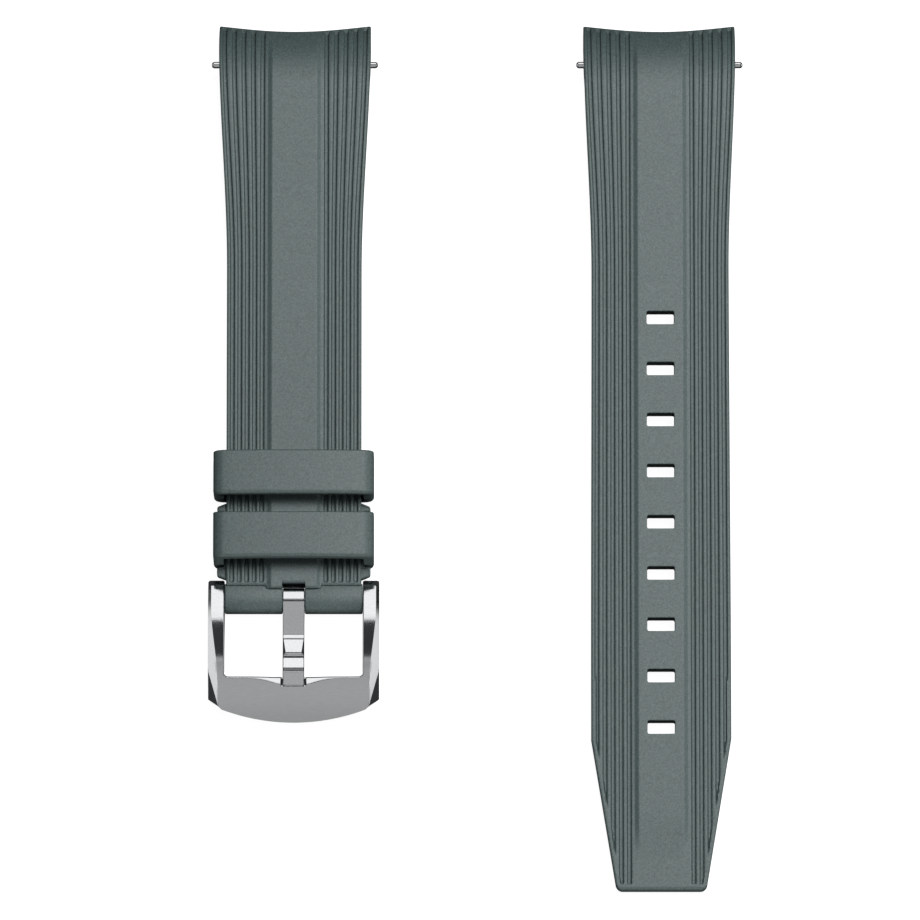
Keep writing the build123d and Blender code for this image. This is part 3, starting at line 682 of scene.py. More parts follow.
# %% Keepers
KEEPER_INSIDE, KEEPER_ROOM, KEEPER_WALL, KEEPER_CROWN = 20.0, 6.5, 1.5, 0.42
CRISP_EDGE, SOFT_EDGE, INNER_EDGE, INNER_CORNER, OUTER_CORNER = 0.25, 0.62, 0.18, 0.5, 1.6
CROWN_FROM, CROWN_HALF, RUN_ROWS, RUN_GAP, BACK_GAP = 2.0, 10.0, 12, 0.05, 0.25
FLARE, FLOATING_FROM, FLOATING_LENGTH, FLOATING_SAG = 0.75, 14.6, 6.4, -0.25


def frame_loop(width, height, radius, steps=9, side_steps=14):
    """Points round a round-cornered rectangle: four quarter circles with straight runs."""
    turn = np.linspace(0, np.pi / 2, steps)
    arcs = []
    for quarter, (sx, sy) in enumerate(((1, 1), (-1, 1), (-1, -1), (1, -1))):
        middle = np.array([sx * (width / 2 - radius), sy * (height / 2 - radius)])
        angle = turn + quarter * np.pi / 2
        arcs.append(middle + radius * np.stack([np.cos(angle), np.sin(angle)], 1))
    share = np.linspace(0, 1, side_steps)[1:-1, None]
    loop = []
    for arc, following in zip(arcs, arcs[1:] + arcs[:1]):
        loop += [arc, arc[-1] * (1 - share) + following[0] * share]
    return np.concatenate(loop)


def keeper(name, body, start, length, underside, flare, node):
    """A keeper: the section between the inner and outer frame by share, and the length by
    the wall's own loop, rounded at the outside and a little at the inside."""
    total = KEEPER_ROOM + 2 * KEEPER_WALL
    inside = frame_loop(KEEPER_INSIDE, KEEPER_ROOM, INNER_CORNER)
    outside = frame_loop(KEEPER_INSIDE + 2 * KEEPER_WALL, total, OUTER_CORNER)
    crisp_in, crisp_drop = rounding(CRISP_EDGE, 4)
    soft_in, soft_drop = rounding(SOFT_EDGE, 7)
    small_in, small_drop = rounding(INNER_EDGE, 3)
    run = np.linspace(length - CRISP_EDGE - RUN_GAP, SOFT_EDGE + RUN_GAP, RUN_ROWS)
    back_run = np.linspace(BACK_GAP, length - BACK_GAP, RUN_ROWS)
    spot_outer = np.concatenate([length - crisp_in[::-1], run, soft_in])
    spot_inner = np.concatenate([small_in[::-1], back_run, length - small_in])
    share_outer = 1 - np.concatenate([crisp_drop[::-1], 0 * run, soft_drop]) / KEEPER_WALL
    share_inner = np.concatenate([small_drop[::-1], 0 * run, small_drop]) / KEEPER_WALL
    share = np.concatenate([share_outer, share_inner])[:, None]
    spot = np.concatenate([spot_outer, spot_inner])[:, None]
    x = inside[:, 0] * (1 - share) + outside[:, 0] * share
    level = inside[:, 1] * (1 - share) + outside[:, 1] * share
    level = level - KEEPER_CROWN * (x / CROWN_HALF) ** 2 * np.clip(level - CROWN_FROM, 0, 1)
    height = level + underside + KEEPER_ROOM / 2
    lean = flare * (height - underside + KEEPER_WALL) / total
    along = start + lean + spot * (1 - 2 * lean / length)
    points = placed(SHORT, x, along, height)
    return skin(name, points, ring_faces(x.shape, "joined"), body, "keeper_rubber", [node])


fixed_keeper = keeper(
    "fixed_keeper_rubber", "short_half", KEEPER_FROM, KEEPER_LENGTH, 0.0, FLARE, "fixed_keeper"
)
floating_keeper = keeper(
    "floating_keeper_rubber", "floating_keeper", FLOATING_FROM, FLOATING_LENGTH, FLOATING_SAG, 0.0,
    "floating_keeper",
)

# %% [markdown]
# ## The buckle frame
#
# The frame is one forged and polished piece: two arms that arch over the bar, a broad satin
# crossbar, bevels that widen along the arms' outer edges, and clipped corners. It could be
# cut out of a block with booleans, but polished steel shows every uneven face. So its two
# outlines are drawn as rows of matching points, and a section is laid between each pair:
# over the top, down the outside, back underneath and up the inside.

# %% Buckle outlines
WINDOW_HALF, ARM_EDGE, WINDOW_END, FRAME_END = 9.9, 12.25, 11.25, 17.65
WINDOW_CORNER, CLIP_X, CLIP_FROM, CLIP_TO = 0.6, 10.25, 15.9, 14.1
NOSE_AT, NOSE_RADIUS, ARM_UNDERSIDE, ARM_FOOT = -3.05, 1.6, -1.85, 3.0
CROWN_RADIUS, CROWN_TOP, CROWN_AT, CROSSBAR = 24.0, 3.0, 6.5, 1.8
BUCKLE_DIP, PLAN_CORNER, ARM_STEP, NOSE_STEPS = 1.402, 0.35, 0.2, 16
SIDE_FROM, SIDE_WAY = 10.4, np.array([0.9607, 0.2773])
hinge_at = np.array(joints["buckle_hinge"]["pos_m"]) / MM


def hung(x, along, height):
    """Buckle to laid-out strap, in metres: a length runs from the bar to the crossbar, and
    the whole dips a little, until the crossbar touches the floor."""
    dip = np.radians(BUCKLE_DIP)
    y = -along * np.cos(dip) - height * np.sin(dip)
    z = -along * np.sin(dip) + height * np.cos(dip)
    return (hinge_at + np.stack([x + 0 * y, y, z], -1)) * MM


def crown(along):
    """The arched top: a circle's height, with the circle's tangent over the nose."""
    round_part = np.maximum(along, 0)
    circle = CROWN_TOP - CROWN_RADIUS + np.sqrt(CROWN_RADIUS**2 - (round_part - CROWN_AT) ** 2)
    return circle + np.minimum(along, 0) * CROWN_AT / np.sqrt(CROWN_RADIUS**2 - CROWN_AT**2)


HOLLOW = np.polyfit(
    [ARM_FOOT, WINDOW_END, FRAME_END],
    [ARM_UNDERSIDE, crown(WINDOW_END) - CROSSBAR, crown(FRAME_END) - CROSSBAR],
    2,
)


def frame_low(along):
    """The underside: level below the arms, then a parabola up under the crossbar."""
    return np.where(along < ARM_FOOT, ARM_UNDERSIDE, np.polyval(HOLLOW, along))


def side_line(x, along):
    """How far a point is past the line where the corner's steep outer facet begins."""
    return (np.abs(x) - ARM_EDGE) * SIDE_WAY[0] + (along - SIDE_FROM) * SIDE_WAY[1]


def frame_rows():
    """Inner and outer outline points of the right half, from the middle to the arm's nose,
    and how far the nose's quarter circle has dropped there."""
    window_end_x = 9.35
    bar_x = [np.linspace(0, 1.5, 6), np.linspace(1.6, 2.1, 11), np.linspace(2.25, window_end_x, 34)]
    bar_x = np.concatenate(bar_x)
    out_x = bar_x * CLIP_X / bar_x[-1]
    bow = (CLIP_X**2 + (FRAME_END - CLIP_FROM) ** 2) / 2 / (FRAME_END - CLIP_FROM)
    turn = np.linspace(0, np.pi / 2, 27)[1:]
    clip = np.hypot(ARM_EDGE - CLIP_X, CLIP_FROM - CLIP_TO)
    arm_from = WINDOW_END - WINDOW_CORNER
    past_clip = np.linspace(clip, clip + CLIP_TO - arm_from, 15)
    run = np.concatenate([np.linspace(0, clip, 13)[1:], past_clip[1:]])
    on_clip = np.minimum(run / clip, 1)
    arm = np.arange(arm_from - ARM_STEP, NOSE_AT + NOSE_RADIUS, -ARM_STEP)
    nose_in, nose_drop = rounding(NOSE_RADIUS, NOSE_STEPS)
    nose = NOSE_AT + nose_in
    near = np.maximum(PLAN_CORNER - nose_in, 0)
    tuck = PLAN_CORNER - np.sqrt(PLAN_CORNER**2 - near**2)
    corner_x = window_end_x + WINDOW_CORNER * np.sin(turn)
    corner_s = arm_from + WINDOW_CORNER * np.cos(turn)
    inner_x = np.concatenate([bar_x, corner_x, 0 * arm + WINDOW_HALF, WINDOW_HALF + tuck])
    inner_s = np.concatenate([0 * bar_x + WINDOW_END, corner_s, arm, nose])
    clip_x = CLIP_X + (ARM_EDGE - CLIP_X) * on_clip
    clip_s = CLIP_FROM - (CLIP_FROM - CLIP_TO) * on_clip - np.maximum(run - clip, 0)
    outer_x = np.concatenate([out_x, clip_x, 0 * arm + ARM_EDGE, ARM_EDGE - tuck])
    outer_s = np.concatenate([FRAME_END - bow + np.sqrt(bow**2 - out_x**2), clip_s, arm, nose])
    fall = np.concatenate([0 * bar_x, 0 * turn, 0 * arm, nose_drop])
    return inner_x, inner_s, outer_x, outer_s, fall


# %% [markdown]
# The heights over the frame are the lowest of several planes, as a grinder leaves them: the
# arched top, the bevel along each arm, a steep facet at the clipped corner, and a thin bright
# bevel at the window that opens out beside the rest for the tang's tip.

# %% Buckle heights
BEVEL_SLOPE, SIDE_SLOPE, LIP_SLOPE = 0.95, 1.25, 0.7
REST_HALF, REST_END, REST_FLOOR, THINNEST = 1.86, 12.72, 1.45, 0.3
BEVEL_LEAST, BEVEL_GROWTH, BEVEL_FROM, BEVEL_RUN = 0.45, 1.0, 1.0, 12.0
CORNER_DEEP, CORNER_X, CORNER_X_RUN, CORNER_S, CORNER_S_RUN = 1.1, 10.2, 1.4, 8.0, 4.0
LIP_LEAST, LIP_MORE, LIP_REACH, LIP_POWER, LIP_X_END, LIP_S_END = 0.25, 0.85, 2.2, 1.6, 0.3, 0.4
REST_SIDE_FADE, REST_END_FADE = 0.16, 0.2


def bevel_width(along):
    """The bevel's width: narrow at the nose, widening with an S-curve towards the crossbar."""
    return BEVEL_LEAST + BEVEL_GROWTH * smooth((along - BEVEL_FROM) / BEVEL_RUN)


def corner_drop(x, along):
    """How far the outer sides hang below the crossbar's hollow underside."""
    out = smooth((np.abs(x) - CORNER_X) / CORNER_X_RUN)
    return CORNER_DEEP * out * smooth((along - CORNER_S) / CORNER_S_RUN)


def frame_top(x, along, from_window, fall):
    """The top's height: the arch, less the deepest cut of the bevels, less the tang's rest."""
    across_x = np.abs(x)
    arm_cut = BEVEL_SLOPE * np.maximum(across_x - ARM_EDGE + bevel_width(along), 0)
    side_cut = SIDE_SLOPE * np.maximum(side_line(x, along), 0)
    on_crossbar = along > WINDOW_END - LIP_S_END
    from_rest = np.maximum(across_x - REST_HALF, 0) / LIP_REACH
    lip = LIP_LEAST + LIP_MORE * np.exp(-(from_rest**LIP_POWER))
    lip = lip * (across_x < WINDOW_HALF - LIP_X_END) * on_crossbar
    lip_cut = LIP_SLOPE * np.maximum(lip - from_window, 0)
    height = crown(along) - np.maximum(arm_cut, lip_cut) - side_cut - fall
    rest = smooth((REST_HALF - across_x) / REST_SIDE_FADE)
    rest = rest * smooth((REST_END - along) / REST_END_FADE) * on_crossbar
    height = height - np.maximum(height - REST_FLOOR, 0) * rest
    return np.maximum(height, frame_low(along) - corner_drop(x, along) + THINNEST)


# %% [markdown]
# A section's points stand closer at the edges and at every crease, so that each facet stays
# flat and its edges crisp. Where the frame is narrow the points squeeze together. The
# crossbar's front wall leans back below, and so catches no dark line under its rim.

# %% Buckle frame
INNER_STEPS = np.array([0.26, 0.34, 0.42, 0.52, 0.62, 0.74, 0.86])
INNER_STEPS = np.concatenate([INNER_STEPS, np.arange(0.98, 1.7, 0.08)])
EDGE_IN, EDGE_OUT, EDGE_STEPS, UNDERCUT, FOLD = 0.2, 0.22, 4, 0.8, 0.05
QUARTERS, FRONT_LIP, FRAME_CORNER = np.array([0.25, 0.5, 0.75]), 0.25, 38
LEAST_SLANT, CREASE_LEAST, CREASE_MOST, LEAST_SIDE = 0.2, 0.02, 0.9, 0.1
SQUEEZE_FROM, SQUEEZE_OVER, MAIN_GAP, MAIN_SHARES = 0.1, 1.9, 0.14, np.linspace(0.12, 1, 9)

inner_x, inner_s, outer_x, outer_s, fall = frame_rows()
inner_x, outer_x = across(inner_x, -1), across(outer_x, -1)
inner_s, outer_s, fall = across(inner_s), across(outer_s), across(fall)
span = np.hypot(outer_x - inner_x, outer_s - inner_s)[:, None]
crease_x = ARM_EDGE - bevel_width(outer_s)
slant = np.abs(outer_x) - np.abs(inner_x)
crease = (np.abs(outer_x) - crease_x) / np.maximum(slant, LEAST_SLANT)
crease = np.clip(crease, CREASE_LEAST, CREASE_MOST)[:, None] * span
squeeze = np.minimum(1, (span - crease - SQUEEZE_FROM) / SQUEEZE_OVER)
edge_in, edge_drop = rounding(EDGE_IN, EDGE_STEPS)
lip_in, lip_drop = rounding(EDGE_OUT, EDGE_STEPS)
steps = INNER_STEPS * squeeze
main = steps[:, -1:] + (span - crease - MAIN_GAP - steps[:, -1:]) * MAIN_SHARES
folds = np.array([-FOLD, 0.0, FOLD])
line_in, line_out = side_line(inner_x, inner_s), side_line(outer_x, outer_s)
to_side = np.clip(-line_in / np.maximum(line_out - line_in, LEAST_SIDE), 0, 1)[:, None] * span
to_side = np.maximum(to_side, span - crease + 2 * FOLD)
bevel = span - crease + (to_side - span + crease) * QUARTERS
facet = to_side + (span - to_side) * QUARTERS
lip_size = np.where(outer_s > CLIP_FROM - 0.01, FRONT_LIP, 1.0)[:, None]
out = [edge_in[::-1] + 0 * span, steps, main, span - crease + folds, bevel, to_side + folds, facet]
out.append(span - lip_in * lip_size)
out = np.maximum.accumulate(np.clip(np.concatenate(out, 1), 0, span), 1)
rounded = np.zeros(out.shape)
rounded[:, : len(edge_drop)] = edge_drop[::-1]
rounded[:, -len(lip_drop):] = lip_drop * lip_size
share = out / span
x = inner_x[:, None] + (outer_x - inner_x)[:, None] * share
along = inner_s[:, None] + (outer_s - inner_s)[:, None] * share
top = frame_top(x, along, out, fall[:, None]) - rounded
low = frame_low(along) - corner_drop(x, along) + fall[:, None] + rounded
levels = np.linspace(0, 1, 6)[1:-1]
outer_wall = top[:, -1:] + (low[:, -1:] - top[:, -1:]) * levels
inner_wall = low[:, :1] + (top[:, :1] - low[:, :1]) * levels
in_front = smooth((outer_s - CLIP_TO) / (CLIP_FROM - CLIP_TO))[:, None]
along_low = along - UNDERCUT * share**3 * in_front
wall_s = along[:, -1:] + (along_low[:, -1:] - along[:, -1:]) * levels
wall_x, back_x, back_s = 0 * levels + x[:, -1:], 0 * levels + x[:, :1], 0 * levels + along[:, :1]
loop_x = np.concatenate([x, wall_x, x[:, ::-1], back_x], 1)
loop_s = np.concatenate([along, wall_s, along_low[:, ::-1], back_s], 1)
loop_h = np.concatenate([top, outer_wall, low[:, ::-1], inner_wall], 1)


buckle = skin(
    "buckle_frame_steel", hung(loop_x, loop_s, loop_h), ring_faces(loop_x.shape, "covered"),
    "buckle_frame", "brushed_steel", ["buckle_frame"], FRAME_CORNER,
)


def unhung(piece):
    """The lengths and heights of a piece's points on the buckle, in millimetres."""
    points = np.zeros(len(piece.data.vertices) * 3)
    piece.data.vertices.foreach_get("co", points)
    offset = points.reshape(-1, 3) / MM - hinge_at
    dip = np.radians(BUCKLE_DIP)
    length = -offset[:, 1] * np.cos(dip) - offset[:, 2] * np.sin(dip)
    return length, -offset[:, 1] * np.sin(dip) + offset[:, 2] * np.cos(dip)


# %% [markdown]
# The satin face is the crossbar's top. The belt's mark fades out where the arms begin, and
# the bevels were polished afterwards, so the mark stops at their creases. It is kept as a
# number on each point, which the material reads as an attribute.

# %% Where the belt has been
SATIN_FROM, SATIN_RUN, SATIN_DEPTH, SATIN_FADE = 8.7, 1.0, 0.16, 0.08
length, height = unhung(buckle)
on_top = smooth((height - crown(length) + SATIN_DEPTH) / SATIN_FADE)
satin = smooth((length - SATIN_FROM) / SATIN_RUN) * on_top
mark = buckle.data.attributes.new("satin", "FLOAT", "POINT")
mark.data.foreach_set("value", satin.astype(np.float32))
print("satin share of the frame's points:", round(float(satin.mean()), 3))

# %% [markdown]
# ## The tang
#
# The tang is a flat pin, bent and facetted so that each face catches a different light: it
# dips from its eye, steps up in two polished rises, and ends in a short slope that lies in
# the crossbar's rest. It is a section carried along a bent side view, and its eye is a ring.
# Each row of the side view's table gives the length from the bar, the top's height, half the
# top's width and the underside's height.

# %% Tang
TANG_HALF, EYE_OUTER, PIN_CORNER, TANG_EDGE, TANG_ANGLES = 1.55, 1.88, 30, 0.12, 144
EYE_SWELL, FLAT_DISTANCE, FLAT_SLOPE, LEAST_FLAT, EYE_STEP = 0.14, 1.885, 0.24, 0.5, 0.26
SWELL_ANGLE, TOP_ANGLE, STEP_ANGLE, STEP_RUN, STEP_END, STEP_FADE = 20, 90, 87, 5, 125, 25
BEND_ROUND, BEND_SHARE, PLAIN_ROWS = 0.06, 0.3, np.arange(0.6, 12.0, 0.4)
SHOULDER, SHOULDER_LEAST, SHOULDER_MOST, TANG_CHAMFER = 1.7, 0.02, 0.62, 0.08
TANG_SIDE = np.array([
    (-0.1, 1.68, 1.45, 0.9), (0.02, 1.6, 1.46, 0.8), (0.2, 1.62, 1.48, 0.75),
    (0.27, 1.84, 1.49, 0.7), (1.6, 1.69, 1.49, 0.5), (4.95, 1.33, 1.49, 0.35),
    (5.05, 1.24, 1.49, 0.33), (5.18, 1.3, 1.49, 0.33), (5.62, 1.42, 1.49, 0.4),
    (5.72, 1.38, 1.44, 0.42), (5.88, 1.42, 1.42, 0.45), (7.75, 1.9, 1.14, 0.85),
    (7.9, 1.86, 1.38, 0.9), (8.02, 1.85, 1.42, 0.95), (8.5, 1.8, 1.44, 0.95),
    (8.62, 1.84, 1.47, 1.0), (9.9, 2.18, 1.47, 1.28), (10.08, 2.2, 1.45, 1.3),
    (10.3, 1.88, 1.45, 1.31), (10.42, 1.92, 1.47, 1.33), (10.52, 2.02, 1.47, 1.34),
    (12.2, 1.8, 1.44, 1.47), (12.42, 1.72, 1.38, 1.47), (12.5, 1.62, 1.34, 1.47),
])


def tang_rows(side):
    """The side view with a short round at each bend: two rows close to every given one."""
    at = side[:, 0]
    near = np.minimum(BEND_ROUND, BEND_SHARE * np.diff(at))
    rows = [at[1:] - near, at[:-1] + near, at[:1], at[-1:], PLAIN_ROWS]
    rows = np.unique(np.concatenate(rows))
    return rows, [np.interp(rows, at, side[:, column]) for column in (1, 2, 3)]


def tang_eye(angle):
    """The eye's outline: a circle with a flat ground on its top, behind the bar, and a step
    down in front of it where the pin begins."""
    flat = FLAT_DISTANCE / np.maximum(np.sin(angle) + FLAT_SLOPE * np.cos(angle), LEAST_FLAT)
    degrees = np.degrees(angle)
    corner = EYE_OUTER + EYE_SWELL * smooth((degrees - SWELL_ANGLE) / SWELL_ANGLE)
    held = np.where(degrees < TOP_ANGLE, np.minimum(corner, flat), EYE_OUTER)
    step = EYE_STEP * smooth((degrees - STEP_ANGLE) / STEP_RUN)
    return held - step * (1 - smooth((degrees - STEP_END) / STEP_FADE))


at, (high, half_top, below) = tang_rows(TANG_SIDE)
right_x = np.stack([0 * at, 0.5 * half_top, half_top - 0.08, half_top - 0.03, half_top], 1)
fall_in = np.array([0, 0, 0, 0.006, 0.03])
shoulder = SHOULDER * (TANG_HALF - half_top)
shoulder = np.clip(shoulder, SHOULDER_LEAST, SHOULDER_MOST)[:, None]
side_x = TANG_HALF - np.array([0.02, 0, 0, 0.06]) + 0 * at[:, None]
top_h, low_h = high[:, None], below[:, None]
half_x = np.concatenate([right_x, side_x, 0 * low_h], 1)
side_h = [top_h - shoulder - 0.02, top_h - shoulder - TANG_CHAMFER, low_h + TANG_CHAMFER]
half_h = np.concatenate([top_h - fall_in, *side_h, low_h, low_h], 1)
loop_x = np.concatenate([half_x, -half_x[:, -2:0:-1]], 1)
loop_h = np.concatenate([half_h, half_h[:, -2:0:-1]], 1)
pin = hung(loop_x, at[:, None] + 0 * loop_x, loop_h), ring_faces(loop_x.shape, "covered")
x, forward, up = turned_ring(tang_eye, BORE / 2, -TANG_HALF, TANG_HALF, TANG_EDGE, TANG_ANGLES)
eye = hung(x, -forward, up), ring_faces(x.shape, "joined")
tang = skin("tang_steel", *joined([pin, eye]), "tang", "polished_steel", ["tang"], PIN_CORNER)

# %% [markdown]
# ## Rubber
#
# The strap's rubber is a dark green-grey with a dry, slightly dusty face. Three things make it read
# as moulded rubber: a fine mottling with a few paler specks, a very small bump from the mould's
# blasted face, and a dull gloss that wanders a little. The paler specks are partly the rubber's own
# grain and partly painted glints, colour that stands in for the sparkle of its sheen. A picture of
# rubber could be laid on it, but noise has no seams and no edges. It is read from Object
# coordinates in metres, so the grain keeps its real size.

# %% Helpers for materials
def node_tree(name):
    """A new material that holds only a Principled shader and its output."""
    material = bpy.data.materials.new(name)
    material.use_nodes = True
    tree = material.node_tree
    tree.nodes.clear()
    shader = tree.nodes.new("ShaderNodeBsdfPrincipled")
    output = tree.nodes.new("ShaderNodeOutputMaterial")
    tree.links.new(shader.outputs["BSDF"], output.inputs["Surface"])
    return material, tree, shader


def noise(tree, cells_per_mm, detail=2.0, stretch=None):
    """Noise whose cells are counted per millimetre, on Object coordinates."""
    where = tree.nodes.new("ShaderNodeTexCoord")
    field = tree.nodes.new("ShaderNodeTexNoise")
    field.inputs["Scale"].default_value = cells_per_mm / MM
    field.inputs["Detail"].default_value = detail
    source = where.outputs["Object"]
    if stretch:
        mapping = tree.nodes.new("ShaderNodeMapping")
        mapping.inputs["Scale"].default_value = stretch
        tree.links.new(source, mapping.inputs["Vector"])
        source = mapping.outputs["Vector"]
    tree.links.new(source, field.inputs["Vector"])
    return field.outputs["Fac"]


def ramp(tree, source, stops):
    """A colour ramp: pairs of place and linear colour."""
    node = tree.nodes.new("ShaderNodeValToRGB")
    elements = node.color_ramp.elements
    while len(elements) < len(stops):
        elements.new(0.5)
    for element, (place, colour) in zip(elements, stops):
        element.position = place
        element.color = (*colour, 1)
    tree.links.new(source, node.inputs["Fac"])
    return node.outputs["Color"]


def linear(red, green, blue):
    """Screen colour, 0 to 255, to the linear colour that a shader takes."""
    share = np.array([red, green, blue]) / 255
    curved = ((share + 0.055) / 1.055) ** 2.4
    return tuple(np.where(share <= 0.04045, share / 12.92, curved).tolist())


def shades(colour, darker, paler):
    """Stops for a ramp that runs from a darker to a paler shade of one colour."""
    return [(0.3, tuple(darker * c for c in colour)), (0.7, tuple(paler * c for c in colour))]


def between(tree, source, low, high):
    """A value from 0 to 1, stretched to run from low to high."""
    node = tree.nodes.new("ShaderNodeMapRange")
    node.inputs["To Min"].default_value, node.inputs["To Max"].default_value = low, high
    tree.links.new(source, node.inputs["Value"])
    return node.outputs["Result"]


def mixed(tree, factor, first, second):
    """Two colours mixed by a factor, which is a number or comes from another node."""
    node = tree.nodes.new("ShaderNodeMix")
    node.data_type = "RGBA"
    for socket, value in (("Factor", factor), ("A", first), ("B", second)):
        target = [s for s in node.inputs if s.name == socket and s.enabled][0]
        if isinstance(value, (tuple, float)):
            target.default_value = (*value, 1) if isinstance(value, tuple) else value
        else:
            tree.links.new(value, target)
    return [s for s in node.outputs if s.enabled][0]


def bumped(tree, shader, height, distance, strength):
    """Bump from a height between 0 and 1, with its depth in millimetres."""
    bump = tree.nodes.new("ShaderNodeBump")
    bump.inputs["Strength"].default_value = strength
    bump.inputs["Distance"].default_value = distance * MM
    tree.links.new(height, bump.inputs["Height"])
    tree.links.new(bump.outputs["Normal"], shader.inputs["Normal"])


# %% Rubber material
CLOUD_CELLS, FINE_CELLS, GRAIN_AND_GLINT_CELLS, DULL_CELLS, BUMP_CELLS = 0.16, 4.2, 5.5, 2.5, 6.0
FINE_SHARE, KEEPER_SHADE, GRAIN_AND_GLINT_SHADE, RUBBER_BUMP, RUBBER_SHEEN = 0.85, 0.93, 2.0, 0.012, 0.66
GRAIN_AND_GLINT_STOPS = [(0.6, (0, 0, 0)), (0.76, (1, 1, 1))]


def rubber_material(name, base):
    """Moulded rubber: base colour, cloudiness, fine mottling and pale specks of grain and painted
    glint.
    """
    material, tree, shader = node_tree(name)
    cloud = ramp(tree, noise(tree, CLOUD_CELLS, 3.0), shades(base, 0.94, 1.06))
    fine = ramp(tree, noise(tree, FINE_CELLS), shades(base, 0.62, 1.4))
    colour = mixed(tree, FINE_SHARE, cloud, fine)
    # Painted glints: sparse specks twice as pale as the base stand in for the sparkle of the
    # rubber's sheen, on top of its own grain.
    grain_and_glint = ramp(tree, noise(tree, GRAIN_AND_GLINT_CELLS, 3.0), GRAIN_AND_GLINT_STOPS)
    colour = mixed(tree, grain_and_glint, colour, tuple(GRAIN_AND_GLINT_SHADE * c for c in base))
    tree.links.new(colour, shader.inputs["Base Color"])
    dull = between(tree, noise(tree, DULL_CELLS), 0.57, 0.69)
    tree.links.new(dull, shader.inputs["Roughness"])
    shader.inputs["Specular IOR Level"].default_value = RUBBER_SHEEN
    bumped(tree, shader, noise(tree, BUMP_CELLS, 3.0), RUBBER_BUMP, 0.6)
    return material


RUBBER = linear(56, 70, 69)
rubber = rubber_material("strap_rubber", RUBBER)
keeper_rubber = rubber_material("keeper_loop_rubber", tuple(KEEPER_SHADE * c for c in RUBBER))
strap_pieces, keepers = [long_strap, short_strap, hinge_end, ears], [fixed_keeper, floating_keeper]
for pieces, material in ((strap_pieces, rubber), (keepers, keeper_rubber)):
    for piece in pieces:
        piece.data.materials.append(material)
print("rubber colour, linear:", np.round(RUBBER, 3))

# %% [markdown]
# ## Steel
#
# The buckle's crossbar has a satin finish from a fine abrasive belt, its arms are polished
# and the bars are turned. All are the same metal. What differs is how rough the surface is
# and which way its fine scratches run, so each finish is a stretched noise in the bump.

# %% Steel materials
POLISHED_ROUGHNESS = 0.1


def steel_material(name, colour, roughness, scratch, depth, satin_mark=None):
    """Steel: metallic, with scratches as noise drawn out along one direction. Where a mark
    is named, the scratches and the roughness follow it, and the rest is polished."""
    material, tree, shader = node_tree(name)
    shader.inputs["Metallic"].default_value = 1.0
    lines = noise(tree, 1.0, 4.0, scratch)
    tree.links.new(ramp(tree, lines, shades(colour, 0.93, 1.04)), shader.inputs["Base Color"])
    finish = between(tree, lines, roughness * 0.8, roughness * 1.2)
    if satin_mark:
        mark = tree.nodes.new("ShaderNodeAttribute")
        mark.attribute_name = satin_mark
        blend = tree.nodes.new("ShaderNodeMix")
        tree.links.new(mark.outputs["Fac"], blend.inputs["Factor"])
        blend.inputs["A"].default_value = POLISHED_ROUGHNESS
        tree.links.new(finish, blend.inputs["B"])
        finish = blend.outputs["Result"]
    tree.links.new(finish, shader.inputs["Roughness"])
    bumped(tree, shader, lines, depth, 0.5)
    return material


STEEL = linear(205, 206, 207)
satin_steel = steel_material("satin_buckle_steel", STEEL, 0.3, (1, 12, 12), 0.004, "satin")
polished_steel = steel_material("polished_steel", STEEL, 0.09, (4, 4, 4), 0.0008)
turned_steel = steel_material("turned_bar_steel", STEEL, 0.12, (14, 2, 2), 0.002)
for node in frame["nodes"].values():
    node.data.materials.clear()
    node.data.materials.append(turned_steel)
buckle.data.materials.append(satin_steel)
tang.data.materials.append(polished_steel)

# %% [markdown]
# ## Floor, light and camera
#
# The strap lies on a plain pale floor. The floor glows faintly, so that it comes out as white
# as the photograph's background, and it is hidden from bounced light and from reflections,
# because the steep facets of the steel are dark in the photograph.

# %% Floor
FLOOR_SIZE, FLOOR_GLOW = 6.0, 0.97
bpy.ops.mesh.primitive_plane_add(size=1)
floor = bpy.context.active_object
floor.name = "floor"
floor.data.transform(Matrix.Scale(FLOOR_SIZE, 4))
floor_material, floor_tree, floor_shader = node_tree("pale_floor")
floor_tone = ramp(floor_tree, noise(floor_tree, 0.02), shades((0.25, 0.25, 0.25), 1.0, 1.04))
floor_tree.links.new(floor_tone, floor_shader.inputs["Base Color"])
floor_shader.inputs["Roughness"].default_value = 0.9
floor_shader.inputs["Specular IOR Level"].default_value = 0.0
floor_shader.inputs["Emission Color"].default_value = (1, 1, 1, 1)
floor_shader.inputs["Emission Strength"].default_value = FLOOR_GLOW
floor.data.materials.append(floor_material)
floor.visible_diffuse = False
floor.visible_glossy = False

# %% [markdown]
# Rubber and steel need different lights. Rubber scatters light, so it shows where the light
# comes from: a large soft key light above and to the right, as the grooves' left-facing walls
# are the dark ones in the photograph, and low rim lights for the side walls. Steel shows what
# it mirrors, so each of its bright bands is a white card at the right height. Light linking
# gives each lamp only the pieces that it is for.

# %% Lights
world = bpy.data.worlds.new("studio")
bpy.context.scene.world = world
world.use_nodes = True
background = world.node_tree.nodes["Background"]
background.inputs["Color"].default_value = (0.93, 0.97, 1.0, 1)
background.inputs["Strength"].default_value = 0.05


def softbox(name, place, size, watts):
    """A rectangular soft light, in metres, that faces the middle of the strap."""
    light = bpy.data.lights.new(name, "AREA")
    light.shape, light.size, light.size_y, light.energy = "RECTANGLE", size[0], size[1], watts
    lamp = bpy.data.objects.new(name, light)
    bpy.context.scene.collection.objects.link(lamp)
    lamp.location = place
    lamp.rotation_euler = (-Vector(place)).to_track_quat("-Z", "Y").to_euler()
    return lamp


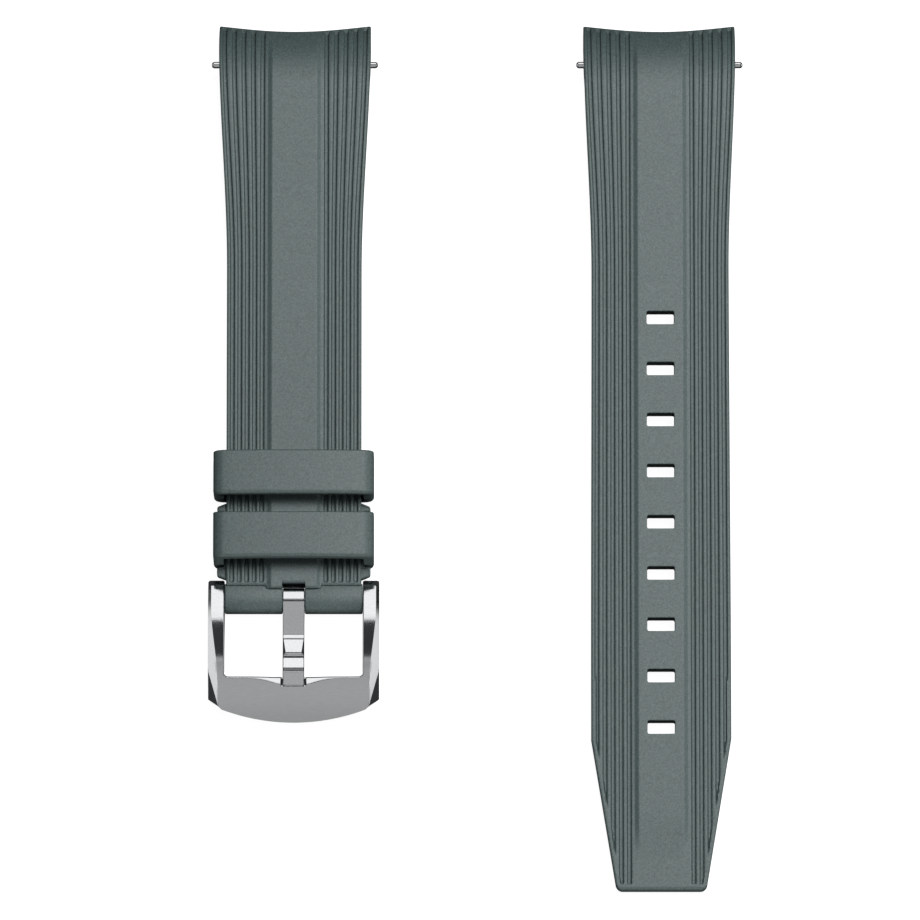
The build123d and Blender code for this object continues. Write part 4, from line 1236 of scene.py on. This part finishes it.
def lights_only(lamp, pieces):
    """Light linking: the lamp shines on these pieces and on nothing else."""
    group = bpy.data.collections.new(lamp.name + "_shines_on")
    for piece in pieces:
        group.objects.link(piece)
    lamp.light_linking.receiver_collection = group


rubber_pieces = strap_pieces + keepers
steel_pieces = [buckle, tang, *frame["nodes"].values()]
key = softbox("key_softbox", (0.19, 0.17, 0.86), (0.34, 0.34), 10.6)
lights_only(key, rubber_pieces + [floor])
cards = [
    softbox("north_card", (0, 0.6, 0.53), (0.9, 0.78), 3.0),
    softbox("overhead_card", (0, -0.29, 0.745), (0.9, 0.5), 0.74),
    softbox("south_card", (0, -0.66, 0.45), (0.9, 0.5), 0.6),
    softbox("west_card", (-0.77, 0, 0.21), (0.8, 0.45), 1.2),
    softbox("east_card", (0.77, 0, 0.21), (0.8, 0.45), 1.2),
]
for card in cards:
    lights_only(card, steel_pieces)
rims = [
    softbox("east_rim", (0.8, 0, 0.13), (0.8, 0.2), 2.2),
    softbox("south_rim", (0, -0.8, 0.13), (0.8, 0.2), 3.4),
    softbox("west_rim", (-0.8, 0, 0.13), (0.8, 0.2), 0.6),
]
for rim in rims:
    lights_only(rim, rubber_pieces)
print("key light", round(key.location.length, 3), "m away")

# %% [markdown]
# The camera looks almost straight down from the tail's side, from far away, so the strap
# hardly narrows with depth. Its place comes from fitting the slots, the lug ends and the
# keepers to their places in the photograph.

# %% Camera
CAMERA_AIM = Vector((-2.35, -1.39, 3.0)) * MM
CAMERA_DISTANCE, CAMERA_ELEVATION, CAMERA_LENS = 1800.0, 78.38, 490.5
rise = np.radians(CAMERA_ELEVATION)
camera_data = bpy.data.cameras.new("camera")
camera_data.lens, camera_data.sensor_width = CAMERA_LENS, 36.0
camera_data.clip_start, camera_data.clip_end = 0.05, 20.0
camera = bpy.data.objects.new("camera", camera_data)
bpy.context.scene.collection.objects.link(camera)
camera.location = CAMERA_AIM + Vector((0, -np.cos(rise), np.sin(rise))) * CAMERA_DISTANCE * MM
camera.rotation_euler = (CAMERA_AIM - camera.location).to_track_quat("-Z", "Y").to_euler()
bpy.context.scene.camera = camera
bpy.context.scene.view_settings.view_transform = "Standard"
